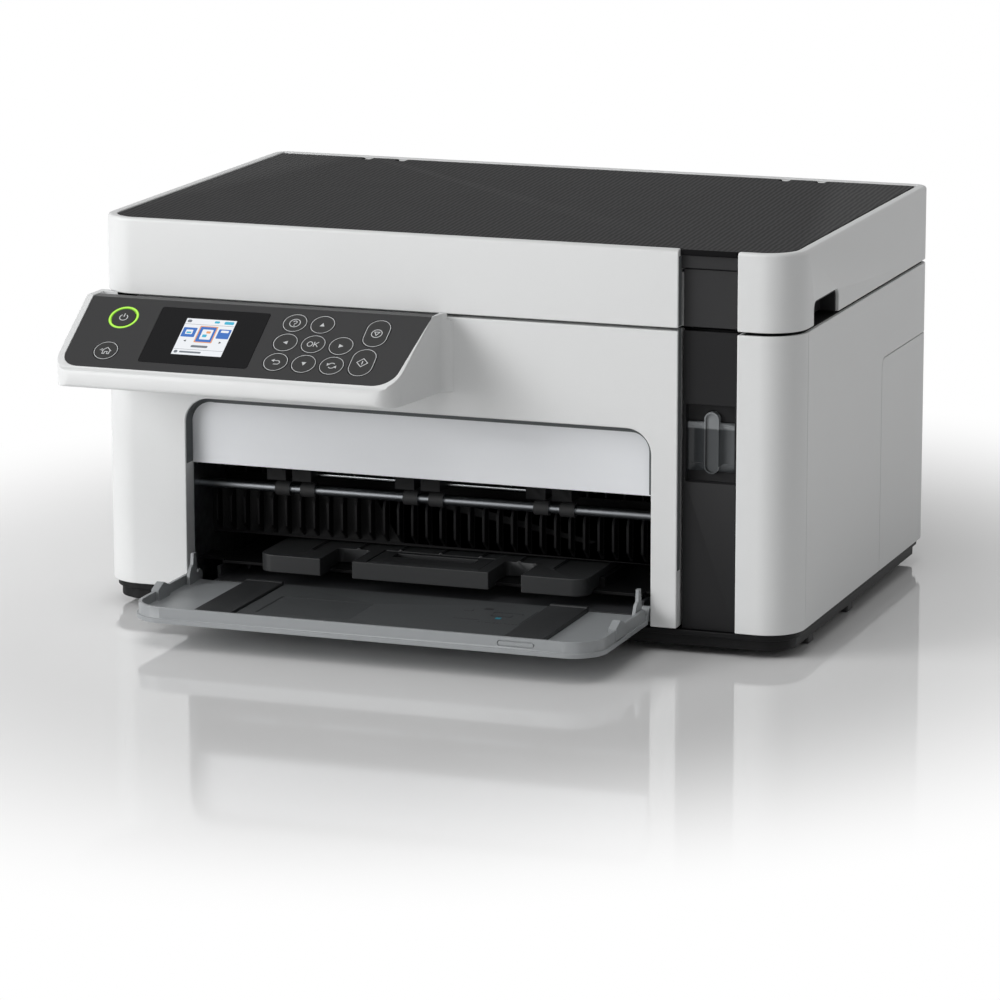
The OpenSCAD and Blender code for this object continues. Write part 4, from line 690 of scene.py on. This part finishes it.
# Closed cell foam, soft and matt white, with cells drawn 0.7 mm wide so that they show.
foam, tree = new_material("white_foam_pad")
place = add(tree, "TexCoord")
cells = add(tree, "TexVoronoi", {"Scale": 1400.0}, Vector=place.outputs["Object"])
bump = add(tree, "Bump", {"Strength": 0.3, "Distance": 0.0001}, Height=cells.outputs[0])
skin = add(tree, "BsdfPrincipled", {"Base_Color": linear("#f1f1ef"), "Roughness": 0.75,
                                    "Sheen_Weight": 0.2}, Normal=bump)
add(tree, "OutputMaterial", Surface=skin)
eased("cover_pad", "document_cover", [foam], 0.4, tag="foam")

# ---- Front cover and trays
# A shallow tray of grey ABS with dark inserts on its inside, which folds down on two pins. Behind it
# lie the paper tray with its two fences and the dark output tray.

# Mid grey with a satin shine: a long pale reflection lies along the rim of the front cover.
grey_abs = moulded("grey_abs_satin", "#8e9193", 0.38, grain=1.1, depth=0.006)
eased("front_cover", "front_cover", [grey_abs], 0.2)
# Three dark greys part the trays and inserts by tone alone.
dark_abs = moulded("dark_grey_abs_textured", "#313234", 0.5, spec=0.3)
darker_abs = moulded("charcoal_abs_textured", "#2a2b2c", 0.45, spec=0.3)
plate_grey = moulded("guide_plate_abs", "#3f4142", 0.45, spec=0.3)
PLATE_X = (-82, 55.5)  # the middle insert lies between these, the guide plate


def insert_parts(middle, normal):
    """Material index of the inserts' faces: 1 the guide plate."""
    return (middle[:, 0] > PLATE_X[0]) & (middle[:, 0] < PLATE_X[1])


eased("cover_inserts", "front_cover", [darker_abs, plate_grey], 0.3, pick=insert_parts)

# Pad printing on the guide plate: the outline of a diagram, its rows of marks and a coloured dot,
# each a rectangle of left, front, right and rear edge.
plate_ink = moulded("pad_print_black", "#232425", 0.5, spec=0.3)
teal_ink = moulded("pad_print_teal", "#2a7f92", 0.5, spec=0.3)
PRINT_Z = (18.58, 18.64)
marks = [(57.2, -40.7, 57.8, -12.7), (37.2, -20.6, 53.0, -20.0), (52.4, -22.4, 53.0, -20.0),
         (48.2, -28.2, 48.8, -24.0), (38.0, -28.4, 48.8, -27.8), (21.2, -22.0, 25.8, -21.4),
         (25.4, -21.6, 26.0, -18.6), (21.6, -38.4, 35.6, -37.8), (30.2, -16.8, 34.8, -13.6),
         (37.2, -22.6, 37.8, -20.0), (37.8, -28.4, 38.4, -25.8)]
dash_lengths = (1.2, 0.7, 1.4, 0.6, 1.3, 1.1, 0.6, 1.3, 0.8, 1.3, 1.0)
dashes = [(x, -42.2, x + w, -41.5) for x, w in zip(np.arange(36.0, 57, 2.0), dash_lengths)]
for name, rows, paint in (("guide_plate_print", marks + dashes, plate_ink),
                          ("guide_plate_dot", [(42.0, -33.4, 44.8, -30.6)], teal_ink)):
    put_mesh(name, *slabs(rows, *PRINT_Z), "front_cover", paint, slot="insert_plastic")

eased("paper_tray", "body", [dark_abs], 0.4)
for side in ("left", "right"):
    eased("edge_guide_" + side, "edge_guide_" + side, [dark_abs], 0.3)
eased("output_tray", "output_tray", [darker_abs], 0.5)
eased("tray_stopper", "tray_stopper", [darker_abs], 0.4)

# ---- Chassis, platen and outlet
# Zinc plated sheet steel side plates and cross members, with black moulded guides bolted between
# them. The sheet shows a fine spangle and slightly brighter cut edges.

# Dull silver, its crystals about 5 mm wide and each a little different in tone and shine.
zinc, tree = new_material("zinc_plated_sheet_steel")
place = add(tree, "TexCoord")
spangle = add(tree, "TexVoronoi", {"Scale": 190.0}, Vector=place.outputs["Object"])
tone = add(tree, "Mix", {"data_type": "RGBA", "_6": linear("#a9adb0"), "_7": linear("#8f9396")},
           _0=spangle.outputs["Distance"])
rub = add(tree, "MapRange", {"To_Min": 0.3, "To_Max": 0.44}, Value=spangle.outputs["Distance"])
skin = add(tree, "BsdfPrincipled", {"Metallic": 1.0}, Base_Color=tone.outputs[2], Roughness=rub)
add(tree, "OutputMaterial", Surface=skin)
# Black plastic, made darker still as painted shade, so that the inside of the outlet reads as a dark hollow.
inner_abs_painted_shade = moulded("inner_abs_black_painted_shade", "#0b0b0c", 0.5, spec=0.15)
eased("chassis", "body", [zinc], 0.25, tag="frame")
eased("paper_guide", "body", [inner_abs_painted_shade], 0.25)
eased("platen", "body", [inner_abs_painted_shade], 0.25)
eased("star_wheel_frame", "body", [inner_abs_painted_shade], 0.25)
carriage_abs = moulded("carriage_abs_black", "#222326", 0.4)  # a satin black, paler than its bay
eased("carriage", "carriage", [carriage_abs], 0.5)

# ---- Rollers and gears
# Ground steel shafts with black rubber tyres, and star wheels stamped from spring steel. The gears
# are natural white acetal, the motor's pinion is brass.


def ground_steel(name, colour, low, high):
    """A steel ground round and round: rings along its length, 2 mm apart, vary the roughness."""
    made, tree = new_material(name)
    place = add(tree, "TexCoord")
    rings = add(tree, "TexNoise", {"Scale": 500.0, "noise_dimensions": "1D"})
    across = add(tree, "SeparateXYZ", (), Vector=place.outputs["Object"])
    tree.links.new(across.outputs["X"], rings.inputs["W"])
    rub = add(tree, "MapRange", {"To_Min": low, "To_Max": high}, Value=rings.outputs[0])
    skin = add(tree, "BsdfPrincipled", {"Base_Color": linear(colour), "Metallic": 1.0}, Roughness=rub)
    add(tree, "OutputMaterial", Surface=skin)
    return made


# Bright steel gives one sharp line of light, the dulled output shaft a broad grey one.
bright = ground_steel("ground_steel_bright", "#c3c6c8", 0.16, 0.28)
shaft_steel = ground_steel("ground_steel_dulled", "#7d8083", 0.3, 0.42)
# Milky, warm white and waxy.
acetal = moulded("natural_acetal", "#e4e2da", 0.38, grain=1.5, depth=0.004, ior=1.48)
ROLLER_Z = 62.4  # height of both axes
GEAR_X = -145.5  # the gears lie left of this


def roller_parts(axis_y, shaft):
    """Material index of a roller's faces: 0 shaft, 1 tyre outside the shaft's radius, 2 gear."""
    def pick(middle, normal):
        away = np.hypot(middle[:, 1] - axis_y - FRONT, middle[:, 2] - ROLLER_Z)
        return np.where(middle[:, 0] < GEAR_X, 2, np.where(away > shaft + 0.15, 1, 0))
    return pick


for roller, steel, axis_y, shaft in (("output_roller", shaft_steel, 30, 2.5),
                                     ("feed_roller", bright, 122, 3)):
    eased(roller, roller, [steel, rubber, acetal], 0.12, pick=roller_parts(axis_y, shaft), tag="assembly")
eased("idler_gear", "idler_gear", [acetal], 0.12, tag="gear")
eased("star_wheels", "star_wheels", [bright], 0, tag="stampings")

# Yellow metal with tool marks about 1 mm wide in its shine.
brass, tree = new_material("machined_brass")
place = add(tree, "TexCoord")
turning = add(tree, "TexNoise", {"Scale": 900.0}, Vector=place.outputs["Object"])
rub = add(tree, "MapRange", {"To_Min": 0.2, "To_Max": 0.34}, Value=turning.outputs[0])
skin = add(tree, "BsdfPrincipled", {"Base_Color": linear("#c9a461"), "Metallic": 1.0}, Roughness=rub)
add(tree, "OutputMaterial", Surface=skin)
eased("motor_pinion", "motor_pinion", [brass], 0.1, tag="gear")
eased("drive_motors", "body", [zinc], 0.4, tag="cans")
eased("motor_pulley", "motor_pulley", [bright], 0.1, tag="wheel")
eased("idler_pulley", "idler_pulley", [acetal], 0.1, tag="wheel")
eased("timing_belt", "body", [rubber], 0.1, tag="loop")

# ---- Electrics and fixings
# A black power unit with the inlet in its rear, a green main board with the data socket, and zinc
# plated screws through the rear cover.

INLET = (146, 34)  # middle of the inlet, across and up
PIN_AWAY = 4.3  # its two pins lie this far from the middle
PIN_HALF = 1.25
PIN_DEPTH = (235.7, 244.5)
case_black = moulded("power_unit_pc_black", "#242629", 0.5)  # polycarbonate, dull black


def supply_parts(middle, normal):
    """Material index of the power unit's faces: 1 the two pins of its inlet."""
    across = np.abs(np.abs(middle[:, 0] - INLET[0]) - PIN_AWAY) < PIN_HALF
    up = np.abs(middle[:, 2] - INLET[1]) < PIN_HALF
    depth = middle[:, 1] - FRONT
    return across & up & (depth > PIN_DEPTH[0]) & (depth < PIN_DEPTH[1])


eased("power_supply", "body", [case_black, bright], 0.3, tag="case", pick=supply_parts)

SOCKET = (-154, 104)  # middle of the data socket, across and up
SOCKET_HALF = (6.4, 5.9)
SOCKET_DEPTH = 227.4
CHIP_X = (-179.3, -172.5)
chip_black = moulded("epoxy_chip", "#1a1b1e", 0.35)  # smooth black blocks on the green


def board_parts(middle, normal):
    """Material index of the board's faces: 1 the chips on its face, 2 the shell of the data socket."""
    across = np.abs(middle[:, 0] - SOCKET[0]) < SOCKET_HALF[0]
    up = np.abs(middle[:, 2] - SOCKET[1]) < SOCKET_HALF[1]
    shell = across & up & (middle[:, 1] - FRONT > SOCKET_DEPTH)
    chips = (middle[:, 0] > CHIP_X[0]) & (middle[:, 0] < CHIP_X[1])
    return np.where(shell, 2, np.where(chips, 1, 0))


eased("main_board", "body", [board_green, chip_black, bright], 0.15, tag="assembly", pick=board_parts)
eased("screws", "body", [zinc], 0.12, tag="zinc")
